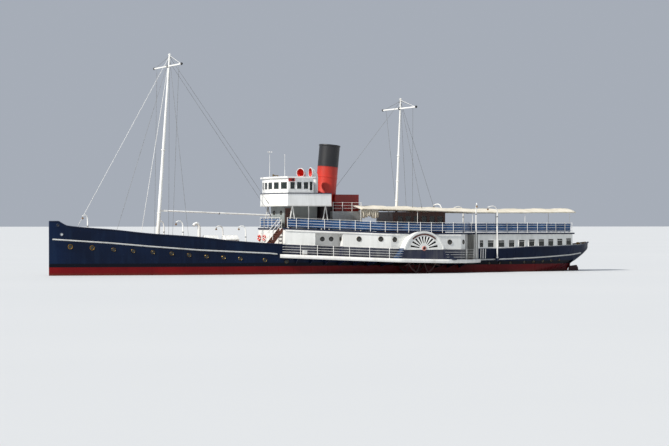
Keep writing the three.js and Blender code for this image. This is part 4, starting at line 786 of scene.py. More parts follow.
def make_floor():
    material, shader = new_material("pale floor", 0.6)
    cloud = noise(material, 0.05, 3.0)
    set_colour(material, shader, cloud, "#cfd2d4", "#d6d8d9")
    mesh = bpy.data.meshes.new("floor")
    corners = FLOOR_HALF * np.array([[-1, -1, 0], [1, -1, 0], [1, 1, 0], [-1, 1, 0]])
    mesh.from_pydata(corners.tolist(), [], [(0, 1, 2, 3)])
    mesh.materials.append(material)
    floor = bpy.data.objects.new("floor", mesh)
    bpy.context.scene.collection.objects.link(floor)


def make_light():
    lamp = bpy.data.lights.new("sun", "SUN")
    lamp.energy, lamp.angle, lamp.color = SUN_STRENGTH, SUN_WIDTH, SUN_COLOUR
    sun = bpy.data.objects.new("sun", lamp)
    bpy.context.scene.collection.objects.link(sun)
    sun.rotation_euler = (0, math.pi / 2 - SUN_HEIGHT, SUN_OFF_BOW)
    world = bpy.data.worlds.new("sky")
    world.use_nodes = True
    sky = world.node_tree.nodes["Background"]
    sky.inputs["Color"].default_value = SKY_COLOUR
    sky.inputs["Strength"].default_value = SKY_STRENGTH
    bpy.context.scene.world = world
    bpy.context.scene.view_settings.view_transform = "Standard"


make_camera()
make_floor()
make_light()
print("camera", [round(part, 2) for part in bpy.context.scene.camera.location])

# %% [markdown]
# ## The hull
#
# One closed shell from the stem to the counter. Each station is a ring of points: round the
# bilge, up the topside to the deck, up the bulwark, over its top, down inside to the deck, and
# across. Nine zones say how high the side and the floor are, so the well of the foredeck, the
# flush deck under the houses, the hold and the stern well all come out of one grid. Two rings
# at the same station make the upright wall where one zone meets the next. Where the counter
# rises past the stern well's floor, the floor rises with it.

# %% Hull shell
HOLD_Y, HOLD_Z, STERN_FLOOR_Z, COUNTER_DEPTH = 2.3, -0.9, 1.9, 0.2
# Columns: front x, aft x, side stops at the deck, floor: rail, fore, main or stern, hold below it.
HULL_ZONES = [
    (30.9, 29.9, False, "rail", False),
    (29.9, 7.0, False, "fore", False),
    (7.0, 4.2, True, "main", False),
    (4.2, -9.7, True, "main", True),
    (-9.7, -15.4, True, "main", False),
    (-15.4, -27.7, False, "main", False),
    (-27.7, -27.8, False, "rail", False),
    (-27.8, -30.69, False, "stern", False),
    (-30.69, -31.04, False, "rail", False),
]
BOTTOM_POINTS, SIDE_POINTS = 10, 5


def floor_z(x, kind):
    heights = {
        "rail": rail_z(x), "fore": rail_z(x) - BULWARK, "main": main_deck_z(x),
        "stern": np.full(len(x), STERN_FLOOR_Z),
    }
    return heights[kind]


def hull_half_rings(x, low_side, kind, hold):
    """Port half of each ring, as arrays (stations, points) of y and z. The bilge is a
    superellipse: y = turn y times sin a to the power 2/n, z = turn z less its depth times
    cos a to the same power, with n the fullness. So at a share s of that depth below the turn,
    y = turn y times (1 - s to the n) to the power 1/n, which is where a low floor has its edge."""
    keel, turn_y, turn_z, fullness = (
        smooth(HULL_SECTIONS, x, column)[:, None] for column in (KEEL_Z, TURN_Y, TURN_Z, FULLNESS)
    )
    angle = np.linspace(0, np.pi / 2, BOTTOM_POINTS)[None]
    bottom_y = turn_y * np.sin(angle) ** (2 / fullness)
    bottom_z = turn_z - (turn_z - keel) * np.cos(angle) ** (2 / fullness)
    rail = rail_z(x)[:, None]
    deck = np.maximum(main_deck_z(x)[:, None], turn_z + 0.3 * (rail - turn_z))
    share = np.linspace(0, 1, SIDE_POINTS + 1)[None, 1:]
    top = deck if low_side else rail
    side_z = np.concatenate([turn_z + (deck - turn_z) * share, deck + (top - deck) * share], 1)
    side_y = hull_y(x[:, None], side_z)
    floor = np.maximum(floor_z(x, kind)[:, None], keel + COUNTER_DEPTH)
    rim_y = np.maximum(side_y[:, -1:] - PLATING, 0.3 * side_y[:, -1:])
    depth = np.clip((turn_z - floor) / (turn_z - keel), 0, 1)
    bilge_y = turn_y * (1 - depth**fullness) ** (1 / fullness)
    out_y = np.where(depth > 0, bilge_y, hull_y(x[:, None], floor))
    edge_y = np.minimum(np.maximum(out_y - PLATING, 0.3 * out_y), rim_y)
    hold_y = np.minimum(HOLD_Y, 0.6 * edge_y)
    inner_y = np.concatenate([rim_y, edge_y, hold_y, hold_y], 1)
    hold_z = np.full_like(floor, HOLD_Z) if hold else floor
    inner_z = np.concatenate([np.maximum(top, floor), floor, floor, hold_z], 1)
    return np.concatenate([bottom_y, side_y, inner_y], 1), np.concatenate([bottom_z, side_z, inner_z], 1)


def hull_rings():
    rings = []
    for front, aft, low_side, kind, hold in HULL_ZONES:
        x = densely(front, aft, 0.35, HULL_SECTIONS)
        y, z = hull_half_rings(x, low_side, kind, hold)
        port = np.stack([np.broadcast_to(x[:, None], y.shape), y, z], -1)
        rings.append(np.concatenate([port, port[:, :0:-1] * [1, -1, 1]], 1))
    return np.concatenate(rings)


def make_hull():
    rings = hull_rings()
    points = rings.reshape(-1, 3)
    quads = grid_faces(*rings.shape[:2]).reshape(len(rings) - 1, rings.shape[1], 4)
    skin = BOTTOM_POINTS + 2 * SIDE_POINTS
    across = rings.shape[1]
    column = np.arange(across)
    from_keel = np.minimum(column, across - 1 - column)
    _, ends = loft(rings)
    parts = [
        ((points, [quads[:, from_keel <= skin - 1].reshape(-1, 4), *ends[1:]]), HULL),
        ((points, [quads[:, from_keel == skin].reshape(-1, 4)]), WHITE),
        ((points, [quads[:, from_keel > skin].reshape(-1, 4)]), DECK),
    ]
    bulwarks = ["fore_bulwark", "aft_bulwark"]
    return piece("hull_plating", parts, replaces=["hull", *bulwarks], weld=True)


make_hull()


# %% [markdown]
# ## Strakes, cap rail and portholes
#
# A white half-round bar runs along each bow and another along each quarter, where the ship rubs
# against a quay. The bulwark is finished with a rounded cap. All of them are one small profile
# carried along the hull's own surface, so they stay on it wherever it curves. The portholes
# stand square to the plating, so each is turned round the surface normal at its place.

# %% Strakes and cap rail
# Columns: station x, height of the middle of the bar.
FORE_STRAKE = [[30.6, 3.6], [25.1, 3.23], [21.26, 2.89], [16.2, 2.5], [8.7, 2.14], [7.9, 2.06]]
AFT_STRAKE = [[-15.5, 1.33], [-18.0, 1.36], [-22.3, 1.5], [-24.8, 1.61], [-27.8, 1.77], [-29.6, 1.95]]
STRAKE_HALF_HEIGHT, STRAKE_OUT = 0.075, 0.07
# Columns: sideways from the middle, height over the rail.
CAP_PROFILE = np.array([
    [-0.1, -0.03], [-0.11, 0.01], [-0.08, 0.045], [0.08, 0.045], [0.11, 0.01], [0.1, -0.03],
])


def strake(table):
    """A half-round bar: y = hull y plus out times cos a, z = middle plus half height times sin a,
    with a from -90 to 90 degrees."""
    x = densely(table[0][0], table[-1][0], 0.4)[:, None]
    angle = np.radians(np.linspace(-90, 90, 7))
    z = straight(table, x) + STRAKE_HALF_HEIGHT * np.sin(angle)
    y = hull_y(x, z) - 0.02 + (STRAKE_OUT + 0.02) * np.cos(angle)
    return loft(np.stack([np.broadcast_to(x, z.shape), y, z], -1))


def profile_over(heights, shape):
    """A profile of [sideways, height] lifted to the given height at each place of a path."""
    lifted = np.broadcast_to(shape, (len(heights), *shape.shape)).copy()
    lifted[..., 1] += heights[:, None]
    return lifted


def cap_rail(front, aft):
    x = densely(front, aft, 0.4, HULL_SECTIONS)
    path = np.stack([x, np.maximum(rail_y(x) - 0.05, 0.06)], -1)
    return swept(path, profile_over(rail_z(x), CAP_PROFILE))


# The strakes take the greyer white, which is painted shade.
piece("rubbing_strakes", [(joined([strake(FORE_STRAKE), strake(AFT_STRAKE)]), STRAKE_WHITE_PAINTED_SHADE)], both=True)
piece("bulwark_caps", [(joined([cap_rail(30.8, 7.0), cap_rail(-15.42, -31.0)]), NAVY)], both=True)

# %% Portholes and hawse pipes
# Columns: station x, height.
BOW_PORTS = [
    (28.91, 2.87), (26.81, 2.76), (24.73, 2.58), (22.85, 2.43), (20.9, 2.31), (19.01, 2.16),
    (17.25, 2.01), (15.45, 1.86), (13.68, 1.75), (11.9, 1.63), (9.24, 1.46), (6.86, 1.28),
]
STERN_PORTS = [
    (-16.71, 0.94), (-17.99, 0.96), (-19.36, 0.99), (-21.21, 1.03),
    (-22.42, 1.07), (-23.72, 1.12), (-24.93, 1.16), (-26.09, 1.22),
]
HAWSE = [(29.75, 4.09), (30.11, 5.0)]


def hull_normal(x, z):
    """The outward direction of the topside: square to its slope along x and along z."""
    step = 0.05
    along = (hull_y(x + step, z) - hull_y(x - step, z)) / (2 * step)
    rise = (hull_y(x, z + step) - hull_y(x, z - step)) / (2 * step)
    return np.array([-along, 1.0, -rise])


def port_shapes(place, normal, radius, rim=0.07):
    """A round window: its rim is a rounded ring and its glass a shallow dome."""
    ring = [[radius, -0.04], [radius, 0.03], [radius + 0.02, 0.055], [radius + rim - 0.02, 0.045],
            [radius + rim, 0.015], [radius + rim, -0.04]]
    dome = [[radius, -0.03], [radius, 0.008], [0.6 * radius, 0.014], [0.01, 0.016]]
    return turned_ring(ring, place, 18, normal), turned(dome, place, 18, normal)


def hull_ports(rows, radius, rim):
    shapes = []
    for x, z in rows:
        y = float(hull_y(np.array(x), z))
        shapes.append(port_shapes((x, y, z), hull_normal(np.array(x), z), radius, rim))
    return [joined(row) for row in zip(*shapes)]


def make_hull_ports():
    # Columns: places, radius, width of the rim.
    rows = [(BOW_PORTS[:2], 0.185, 0.075), (BOW_PORTS[2:], 0.175, 0.05), (STERN_PORTS, 0.11, 0.04)]
    made = [hull_ports(*row) for row in rows]
    dull, panes = joined([row[0] for row in made[1:]]), joined([row[1] for row in made])
    hawse, upper = hull_ports(HAWSE[:1], 0.13, 0.09), hull_ports(HAWSE[1:], 0.11, 0.07)
    piece("hull_portholes", [(made[0][0], BRASS), (dull, DULL_BRASS), (panes, GLASS)], both=True)
    rims = joined([hawse[0], upper[0]])
    # The upper opening's disc is black: painted shade for its dark inside.
    piece("hawse_pipes", [(rims, NAVY), (hawse[1], PALE_GREY), (upper[1], BLACK)], both=True)


make_hull_ports()

# %% [markdown]
# ## Sponsons
#
# The sponsons are the side decks round the paddle boxes. Their plates are the frame's own, and
# they get a thick rounded white fender along the edge and a row of knees underneath, because
# nothing else would hold a deck three metres out from the hull.

# %% Sponson fender and knees
# Columns: sideways, height over the deck. Outboard is negative for a port path running aft.
FENDER = np.array([
    [0.04, 0.03], [-0.05, 0.03], [-0.1, -0.03], [-0.12, -0.16], [-0.1, -0.29], [-0.05, -0.35], [0.04, -0.35],
])
KNEE_STATIONS = [5.8, 4.2, 2.6, 1.0, -0.6, -2.2, -3.8, -10.2, -11.6, -13.0]
KNEE_HALF, KNEE_DEPTH, DECK_DEPTH = 0.03, 0.6, 0.3


def make_fender():
    x = densely(7.63, -15.45, 0.5, SPONSON_EDGE, MAIN_DECK)
    path = np.stack([x, sponson_y(x)], -1)
    return swept(path, profile_over(main_deck_z(x), FENDER))


def knees():
    """Three-cornered plates: from the hull out under the deck and back down to the hull."""
    shapes = []
    for x in KNEE_STATIONS:
        under = float(main_deck_z(x)) - DECK_DEPTH
        low = under - KNEE_DEPTH
        inner, outer = float(hull_y(np.array(x), low)) - 0.05, float(sponson_y(x)) - 0.1
        corners = np.array([[inner, low], [inner, under], [outer, under], [outer, under - 0.08]])
        ring = np.column_stack([np.full(4, x), corners])
        shapes.append(loft(np.stack([ring + [KNEE_HALF, 0, 0], ring - [KNEE_HALF, 0, 0]])))
    return joined(shapes)


piece("sponson_fenders", [(make_fender(), RAIL_WHITE)], both=True)
piece("sponson_knees", [(knees(), NAVY)], both=True)

# %% [markdown]
# ## Paddle boxes
#
# The drum with its slotted fan is the frame's own, because the slots are real holes over the
# turning wheel. On it go a raised moulding that follows the arch, the brown arc over the slots,
# a rib between each two slots, the round hub and the ledge under the fan. A wedge of plating
# stands on the deck at each end of the box's foot.

# %% Paddle box mouldings
PADDLE_X, FAN_HUB_Z = -7.19, 2.6
ARCH_Z, ARCH_RADIUS, BOX_FACE_Y = 2.0, 2.33, 6.98
FAN_REACH = (1.6, 1.25)
BROWN_RADIUS = 2.05
# Corners of the wedge on the deck at each end of the box's foot, as [x, height].
APRONS = [[[-4.94, 2.65], [-4.04, 1.5], [-4.94, 1.5]], [[-9.44, 2.6], [-9.44, 1.38], [-11.1, 1.38]]]
APRON_Y = (5.95, 6.9)
FAN_SLOTS = 10


def face_band(path, inner, outer, depth, back=0.02):
    """A flat band on the box's outer face: it reaches inner and outer from a path of [x, z]
    along the path's own normal, and stands depth out of the face."""
    path = np.array(path, float)
    tangent = np.gradient(path, axis=0)
    tangent /= np.linalg.norm(tangent, axis=1, keepdims=True)
    normal = np.stack([tangent[:, 1], -tangent[:, 0]], -1)
    reach = np.array([inner, inner, outer, outer])[None, :, None]
    flat = path[:, None] + normal[:, None] * reach
    y = BOX_FACE_Y + np.array([-back, depth, depth, -back])
    y = np.broadcast_to(y, flat.shape[:2])
    return loft(np.stack([flat[..., 0], y, flat[..., 1]], -1))


def arc(start, steps, radius):
    """A round arc about the arch's centre, from the start angle to its mirror image."""
    angle = np.linspace(start, np.pi - start, steps)
    return np.stack([PADDLE_X + radius * np.cos(angle), ARCH_Z + radius * np.sin(angle)], -1)

def make_box_trim():
    arch = np.concatenate([[[PADDLE_X + 2.66, 1.5]], arc(0.1, 49, ARCH_RADIUS), [[PADDLE_X - 2.66, 1.5]]])
    brown = arc(0.87, 33, BROWN_RADIUS)
    ledge = [[PADDLE_X + 2.28, 2.5], [PADDLE_X, 2.5], [PADDLE_X - 2.28, 2.5]]
    middle = np.pi * np.arange(1, FAN_SLOTS) / FAN_SLOTS
    reach = 0.98 / np.hypot(np.cos(middle) / FAN_REACH[0], np.sin(middle) / FAN_REACH[1])
    spoke = np.stack([np.cos(middle), np.zeros_like(middle), np.sin(middle)], -1)
    hub = np.array([PADDLE_X, BOX_FACE_Y, FAN_HUB_Z])
    ribs = bars(hub + 0.5 * spoke, hub + reach[:, None] * spoke, 0.022)
    ring = [[0.14, -0.03], [0.14, 0.05], [0.17, 0.08], [0.22, 0.07], [0.25, 0.02], [0.25, -0.03]]
    boss = [[0.16, -0.02], [0.16, 0.02], [0.1, 0.06], [0.01, 0.07]]
    piece("paddle_box_mouldings", [
        (face_band(arch, -0.1, 0.05, 0.06), BOX_PAINT),
        (joined([face_band(ledge, -0.03, 0.04, 0.04), ribs]), RAIL_WHITE),
        (face_band(brown, -0.08, 0.08, 0.035), BROWN),
        (turned_ring(ring, hub, 24, (0, 1, 0)), HUB_PINK),
        (turned(boss, hub, 24, (0, 1, 0)), WHEEL),
    ], both=True)

def apron(corners):
    return loft(np.stack([np.insert(np.array(corners), 1, y, axis=1) for y in APRON_Y]))

make_box_trim()
fore_apron, aft_apron = (apron(corners) for corners in APRONS)
# The forward apron takes the lighter navy as a painted highlight, and the after one plain navy.
piece("paddle_box_aprons", [(fore_apron, PAINTED_SUNLIT_NAVY), (aft_apron, NAVY)], both=True, bevel=0.006)

# %% [markdown]
# ## The houses and the saloon
#
# The house walls are the frame's plates. What makes them a ship's side is what is fixed to them:
# round windows with bronze rims, a strip along the foot of the white paint, and a beam over the
# recess. The saloon's windows are squares in the plating, so each gets a frame and a pane.

# %% House portholes and strips
HOUSE_Y, WALL = 5.9, 0.08
RECESS_FRONT, RECESS_AFT, RECESS_DEPTH = 3.93, 1.05, 0.9
HOUSE_PORTS = [(-0.58, 3.58), (-2.82, 3.58), (-4.3, 3.52), (-10.72, 3.24)]
RECESS_PORTS = [(2.8, 3.58), (1.9, 3.58)]
# The recess's aft end faces forward, and the house's after corner is cut off.
# Columns: place, outward direction.
END_PORTS = [((1.09, 4.32, 3.58), (1, 0, 0)), ((-12.504, 5.607, 3.24), (-0.612, 0.791, 0))]


def house_y(x):
    """Half-breadth of the houses: it widens in a straight line from the front to x = -3.9."""
    return np.minimum(3.42 + (HOUSE_Y - 3.42) * (7.0 - x) / 10.9, HOUSE_Y)


def house_line_z(x):
    """The height where navy meets white: the higher of two straight lines."""
    return np.maximum(*(slope * x + start for slope, start in HOUSE_LINE))


def make_house_ports():
    slant = np.array([(HOUSE_Y - 3.42) / 10.9, 1.0, 0.0])
    shapes = []
    for x, z in HOUSE_PORTS:
        normal = slant if x > -3.9 else np.array([0.0, 1.0, 0.0])
        shapes.append(port_shapes((x, float(house_y(x)) + WALL / 2, z), normal, 0.21, 0.06))
    for x, z in RECESS_PORTS:
        y = float(house_y(x)) - RECESS_DEPTH + WALL / 2
        shapes.append(port_shapes((x, y, z), slant, 0.19, 0.055))
    shapes += [port_shapes(place, normal, 0.19, 0.055) for place, normal in END_PORTS]
    rims, panes = (joined(row) for row in zip(*shapes))
    piece("house_portholes", [(rims, BRONZE), (panes, GLASS)], both=True)


def house_strip(front, aft, line, low, high, out=0.03):
    """A thin strip on the outside of the house side, between two heights over a line."""
    x = densely(front, aft, 0.8, [[-3.9]], PROMENADE_DECK)
    path = np.stack([x, house_y(x) + WALL / 2 + out / 2], -1)
    return wall(path, out, line(x) + low, line(x) + high)

def make_house_trim():
    spans = [(6.9, RECESS_FRONT + 0.04), (RECESS_AFT - 0.04, -4.75), (-9.63, -12.06)]
    strips = [house_strip(*span, house_line_z, -0.03, 0.03) for span in spans]
    strips += [house_strip(*span, promenade_z, -0.28, -0.14, 0.07) for span in ((6.9, -4.9), (-9.4, -12.06))]
    ends = np.array([RECESS_FRONT, RECESS_AFT])
    deck = promenade_z(ends)
    beam = wall(np.stack([ends, house_y(ends)], -1), WALL, deck - 0.34, deck - 0.13)
    piece("house_strips", [(joined([*strips, beam]), RAIL_WHITE)], both=True)

make_house_ports()
make_house_trim()

# %% Saloon windows
SALOON_FIRST, SALOON_PITCH, SALOON_COUNT, SALOON_WIDTH, SALOON_HEIGHT = -15.22, 1.289, 10, 0.73, 0.72
SALOON_LOWEST_SILL, SILL_OVER_RAIL, SALOON_FIRST_CLEAR = 2.67, 0.07, -15.52


def saloon_y(x):
    return rail_y(np.array(x)) - 0.06


def window(front, aft, low, high, bar=0.05, depth=0.12):
    """A frame of four bars round an opening that runs from front to aft in plan, and its pane."""
    front, aft = np.array(front, float), np.array(aft, float)
    along = (aft - front) / np.linalg.norm(aft - front) * bar
    across = [front - along, aft + along]
    frame_bars = [
        wall(across, depth, low - bar, low), wall(across, depth, high, high + bar),
        wall([front - along, front], depth, low, high), wall([aft, aft + along], depth, low, high),
    ]
    return joined(frame_bars), wall([front, aft], 0.02, low, high)


def make_saloon_windows():
    """Each sill is level, and where the rail climbs past it the sill is lifted over the rail."""
    bars_made, panes = [], []
    for place in range(SALOON_COUNT):
        front = SALOON_FIRST - place * SALOON_PITCH
        aft = front - SALOON_WIDTH
        sill = max(SALOON_LOWEST_SILL, float(straight(HULL_SECTIONS, aft, RAIL_Z)) + SILL_OVER_RAIL)
        top = sill + SALOON_HEIGHT
        ends = [[x, float(saloon_y(x))] for x in (min(front, SALOON_FIRST_CLEAR), aft)]
        made, pane = window(*ends, sill, top)
        bars_made += [made, wall([[x, y + 0.015] for x, y in ends], 0.02, top - 0.2, top - 0.17)]
        panes.append(pane)
    piece("saloon_windows", [(joined(bars_made), RAIL_WHITE), (joined(panes), GLASS)], both=True)


make_saloon_windows()

# %% [markdown]
# ## Rails
#
# A ship's rail is a row of iron stanchions with bars through them. Its bars are thin tubes along
# the deck's edge, and its stanchions stand where the photograph shows them, all made in one
# array. The frame keeps a simpler rail for touch, and these pieces stand for it.

# %% Rails round the promenade and the sponsons
RAIL_INSET, RAIL_HEIGHT, BAR_RADIUS, POST_RADIUS = 0.1, 1.09, 0.017, 0.027
BAR_HEIGHTS = [0.28, 0.55, 0.82, 1.08]
PROMENADE_FRONT, PROMENADE_AFT = 6.7, -27.65
POST_STATIONS = [
    6.68, 5.76, 4.56, 2.9, 1.33, -0.24, -1.8, -3.33, -4.68, -5.97, -7.33, -8.61, -9.91, -11.19, -12.85,
    -14.52, -16.36, -17.6, -18.89, -20.22, -21.48, -22.79, -24.07, -25.32, -26.62, -27.63,
]
SPONSON_INSET = 0.08
RAIL_END = [7.3, 3.64]
SPONSON_BARS = [0.27, 0.53, 0.79, 1.05]
FORE_POSTS = [5.57, 3.88, 2.27, 0.66, -1.37, -3.37]
AFT_POSTS = [-12.88, -14.38]


def side_path(front, aft, inset=RAIL_INSET):
    """The port edge of the promenade deck from front to aft, as [x, y]."""
    x = densely(front, aft, 0.6, PROMENADE_EDGE, PROMENADE_DECK)
    return np.stack([x, promenade_y(x) - inset], -1)


def mirror_path(path):
    return np.concatenate([path, path[::-1] * [1, -1]])


def level_bars(path, deck_z, heights, radius=BAR_RADIUS):
    """One tube a height along a plan path, each following the deck under it."""
    made = []
    for height_up in heights:
        line = np.column_stack([path, deck_z(path[:, 0]) + height_up])
        made.append(tube(line, radius, 6))
    return made


def posts(feet, deck_z, tall, radius=POST_RADIUS):
    """Stanchions on a deck, each with a round foot and a small ball on top."""
    feet = np.atleast_2d(np.array(feet, float))
    foot = np.column_stack([feet, deck_z(feet[:, 0])])
    up = np.array([0, 0, 1.0])
    return [
        bars(foot, foot + tall * up, radius), bars(foot, foot + 0.03 * up, 2.2 * radius, 8),
        bars(foot + (tall - 0.05) * up, foot + (tall + 0.03) * up, 1.5 * radius, 6, 0.6 * radius),
    ]


def make_promenade_rails():
    side = side_path(PROMENADE_FRONT, PROMENADE_AFT)
    around = level_bars(mirror_path(side), promenade_z, BAR_HEIGHTS)
    feet = [[x, float(promenade_y(x)) - RAIL_INSET] for x in POST_STATIONS]
    feet += [[x, -y] for x, y in feet] + [[PROMENADE_AFT, y] for y in (-1.6, -0.8, 0.0, 0.8, 1.6)]
    piece("promenade_rails", [(joined(around + posts(feet, promenade_z, RAIL_HEIGHT)), RAIL_WHITE)],
          replaces=["promenade_rail"])
    front = np.array([[6.9, -3.2], [6.9, 2.0]])
    feet = [[6.9, y] for y in np.linspace(-3.17, 1.97, 6)]
    shapes = level_bars(front, promenade_z, BAR_HEIGHTS) + posts(feet, promenade_z, RAIL_HEIGHT)
    piece("front_rails", [(joined(shapes), RAIL_WHITE)],
          replaces=["promenade_rail_front"])


def sponson_path(front, aft):
    x = densely(front, aft, 0.6, SPONSON_EDGE, MAIN_DECK)
    return np.stack([x, sponson_y(x) - SPONSON_INSET], -1)


def make_sponson_rails():
    for place, stations, span in (("fore", FORE_POSTS, (7.3, -4.9)), ("aft", AFT_POSTS, (-9.5, -14.4))):
        path = sponson_path(*span)
        if place == "fore":
            path = np.concatenate([[RAIL_END], path])
        feet = [[x, float(sponson_y(x)) - SPONSON_INSET] for x in stations]
        shape = joined(level_bars(path, main_deck_z, SPONSON_BARS) + posts(feet, main_deck_z, 1.06))
        nodes = [f"sponson_rail_{place}_{side}" for side in ("port", "starboard")]
        piece(f"sponson_rails_{place}", [(shape, RAIL_WHITE)], replaces=nodes, both=True)


make_promenade_rails()
make_sponson_rails()

# %% Deck edges, fender bars and the box on the rail
# Columns: sideways, height over the deck.
EDGE_PROFILE = np.array([
    [0.03, 0.02], [-0.03, 0.02], [-0.06, -0.02], [-0.06, -0.1], [-0.03, -0.14], [0.03, -0.14],
])
FENDER_BARS = [-15.62, -15.9, -16.18]


def make_edges():
    side = side_path(7.0, -27.85, 0.0)
    around = mirror_path(side)
    shape = swept(around, profile_over(promenade_z(around[:, 0]), EDGE_PROFILE))
    front = [wall([[7.02, low], [7.02, high]], 0.06, 4.55, 4.71) for low, high in ((-3.5, 2.0), (3.05, 3.5))]
    piece("promenade_edge", [(joined([shape, *front]), NAVY)])
    feet = [[x, float(hull_y(np.array(x), 1.5)) + 0.06, 1.45] for x in FENDER_BARS]
    heads = [[x, float(hull_y(np.array(x), 2.4)) + 0.08, 2.5] for x in FENDER_BARS]
    piece("side_fender_bars", [(bars(feet, heads, 0.045, 8), RAIL_WHITE)], both=True)
    y = float(sponson_y(5.06)) - 0.42
    piece("rail_locker", [(blocks([4.82, y, 2.0], [5.3, y + 0.26, 2.46]), WHITE)], bevel=0.03)


make_edges()

# %% [markdown]
# ## Canvas
#
# Blue dodgers are laced inside the rails, and a cream awning is stretched over bows above the
# after deck. Cloth that is held at points is never flat: a dodger bellies between two
# stanchions, and an awning hangs a little between two bows and flaps at its edge. Both are one
# surface of two parameters, given its thickness by a Solidify modifier. A side curtain is
# gathered near the front of the awning, which is a surface folded along its length.

# %% Dodgers
CLOTH = 0.016
DODGER_FOOT, DODGER_HEAD = 0.12, 0.98
DODGER_INSET = 0.141
BELLY = 0.045


def cloth(name, grid, material, keep=None):
    """A thin sheet from a grid of points, thickened evenly on both of its sides."""
    points, faces = surface(grid)
    quads = faces[0] if keep is None else faces[0][keep.ravel()]
    made = piece(name, [((points, [quads]), material)])
    solid = made.modifiers.new("cloth thickness", "SOLIDIFY")
    solid.thickness, solid.offset = CLOTH * MODEL_PER_SHIP, 0.0
    return made



def dodger_grid(path, stations, inward):
    """Rows from foot to head along a path. Between stanchions the cloth bellies inward by
    sin squared of the way along times sin of the way up, with a fine second wrinkle."""
    along = np.interp(stations, *stations_and_lengths(path))
    walk = np.linspace(along[0], along[-1], int((along[-1] - along[0]) / 0.14))
    lengths = stations_and_lengths(path)[1]
    plan = np.stack([np.interp(walk, lengths, path[:, column]) for column in (0, 1)], -1)
    share = np.interp(walk, along, np.arange(len(along)))
    rise = np.linspace(0, 1, 9)
    belly = np.sin(np.pi * share)[:, None] ** 2 * np.sin(np.pi * rise)[None]
    wrinkle = 0.012 * np.sin(9 * np.pi * share[:, None] + 3 * rise[None]) * np.sin(np.pi * rise)[None]
    offset = BELLY * belly + np.abs(wrinkle)
    slack = 0.03 * np.sin(np.pi * share)[:, None] ** 2 * (rise[None] - 0.5)
    z = promenade_z(plan[:, :1]) + DODGER_FOOT + (DODGER_HEAD - DODGER_FOOT) * rise[None] - slack
    flat = plan[:, None] + inward * offset[..., None]
    return np.concatenate([flat, z[..., None]], -1)


def stations_and_lengths(path):
    """The places along a path by which it is read, and the length run up to each of them."""
    lengths = np.concatenate([[0], np.cumsum(np.linalg.norm(np.diff(path, axis=0), axis=1))])
    return np.arange(len(path), dtype=float), lengths


def make_dodger(name, grid):
    made = cloth(f"canvas_{name}", grid, BLUE_CANVAS)
    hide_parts(name)

def make_dodgers():
    """One down each side, held at the rail's stanchions, and one across the front."""
    path = side_path(6.69, -27.44, DODGER_INSET)
    places = np.interp(-np.array(POST_STATIONS[1:-1]), -path[:, 0], np.arange(len(path)))
    stations = np.concatenate([[0], places, [len(path) - 1]])
    grid = dodger_grid(path, stations, np.array([0.0, -1.0]))
    make_dodger("dodger_port", grid)
    make_dodger("dodger_starboard", grid * [1, -1, 1])
    front = dodger_grid(np.array([[6.857, -3.2], [6.857, 2.0]]), np.linspace(0, 1, 6), np.array([-1.0, 0.0]))
    make_dodger("dodger_front", front)

def make_lacing():
    """A zigzag of cord between each dodger's head and foot and the bars beside them."""
    path = side_path(6.6, -27.4, 0.0)
    lengths = stations_and_lengths(path)[1]
    walk = np.arange(0, lengths[-1], 0.22)
    plan = np.stack([np.interp(walk, lengths, path[:, column]) for column in (0, 1)], -1)
    deck = promenade_z(plan[:, 0])
    odd = np.arange(len(walk)) % 2
    heads = np.column_stack([plan - [0, 0.12], deck + np.where(odd, 0.955, 1.075)])
    feet = np.column_stack([plan - [0, 0.12], deck + np.where(odd, 0.15, 0.27)])
    shape = joined([bars(line[:-1], line[1:], 0.008, 4) for line in (heads, feet)])
    piece("dodger_lacing", [(shape, BLUE_CORD)], both=True)


make_dodgers()
make_lacing()

# %% Awning and its gathered curtain
# Columns: station x, height of the awning's edge.
AWNING_EDGE = [[-1.6, 6.73], [-8.2, 6.61], [-14.75, 6.43], [-18.0, 6.39], [-28.2, 6.45]]
AWNING_RIDGE = 0.41
AWNING_BOWS = [-1.6, -4.9, -8.2, -11.5, -14.75, -18.0, -21.3, -24.5, -27.45, -28.2]
NOTCH_AFT, NOTCH_Y = -2.45, 1.66
VALANCE = 0.09


def awning_z(x):
    return straight(AWNING_EDGE, x)


def awning_y(x):
    return promenade_y(np.minimum(x, -18.0)) - 0.25


def awning_grid():
    """z = edge plus ridge times (1 - share squared), less a hang between the bows that fades
    to nothing at the edge, where a rope holds it. The last row each side is a valance."""
    x = densely(AWNING_BOWS[0], AWNING_BOWS[-1], 0.3, [[NOTCH_AFT], *[[bow] for bow in AWNING_BOWS]])
    half = awning_y(x)
    outer = np.linspace(0, 1, 9)[:-1]
    columns = [half * (1 - part) + NOTCH_Y * part for part in outer]
    columns += [np.full(len(x), y) for y in np.linspace(NOTCH_Y, -NOTCH_Y, 13)]
    columns += [-half * part - NOTCH_Y * (1 - part) for part in np.linspace(0, 1, 9)[1:]]
    y = np.stack(columns, 1)
    bay = np.interp(-x, -np.array(AWNING_BOWS), np.arange(len(AWNING_BOWS)))[:, None]
    hang = np.sin(np.pi * (bay % 1)) ** 2
    share = y / half[:, None]
    fold = 0.012 * np.sin(7 * np.pi * bay + 5 * share) * (1 - share**2)
    edge_y, edge_z = half[:, None] + 0.03, awning_z(x)[:, None]
    z = edge_z + AWNING_RIDGE * (1 - share**2) - 0.07 * hang * (1 - share**4) + fold
    drop = edge_z - VALANCE - 0.025 * np.cos(2 * np.pi * bay) - 0.02 * np.sin(11 * np.pi * bay)
    y = np.concatenate([edge_y, y, -edge_y], 1)
    z = np.concatenate([drop, z, drop], 1)
    return np.stack([np.broadcast_to(x[:, None], y.shape), y, z], -1)


def make_awning():
    grid = awning_grid()
    middle = 0.25 * (grid[1:, 1:] + grid[:-1, :-1] + grid[1:, :-1] + grid[:-1, 1:])
    keep = ~((middle[..., 0] > NOTCH_AFT) & (np.abs(middle[..., 1]) < NOTCH_Y))
    made = cloth("canvas_awning", grid, CREAM_CANVAS, keep)
    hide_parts("awning")


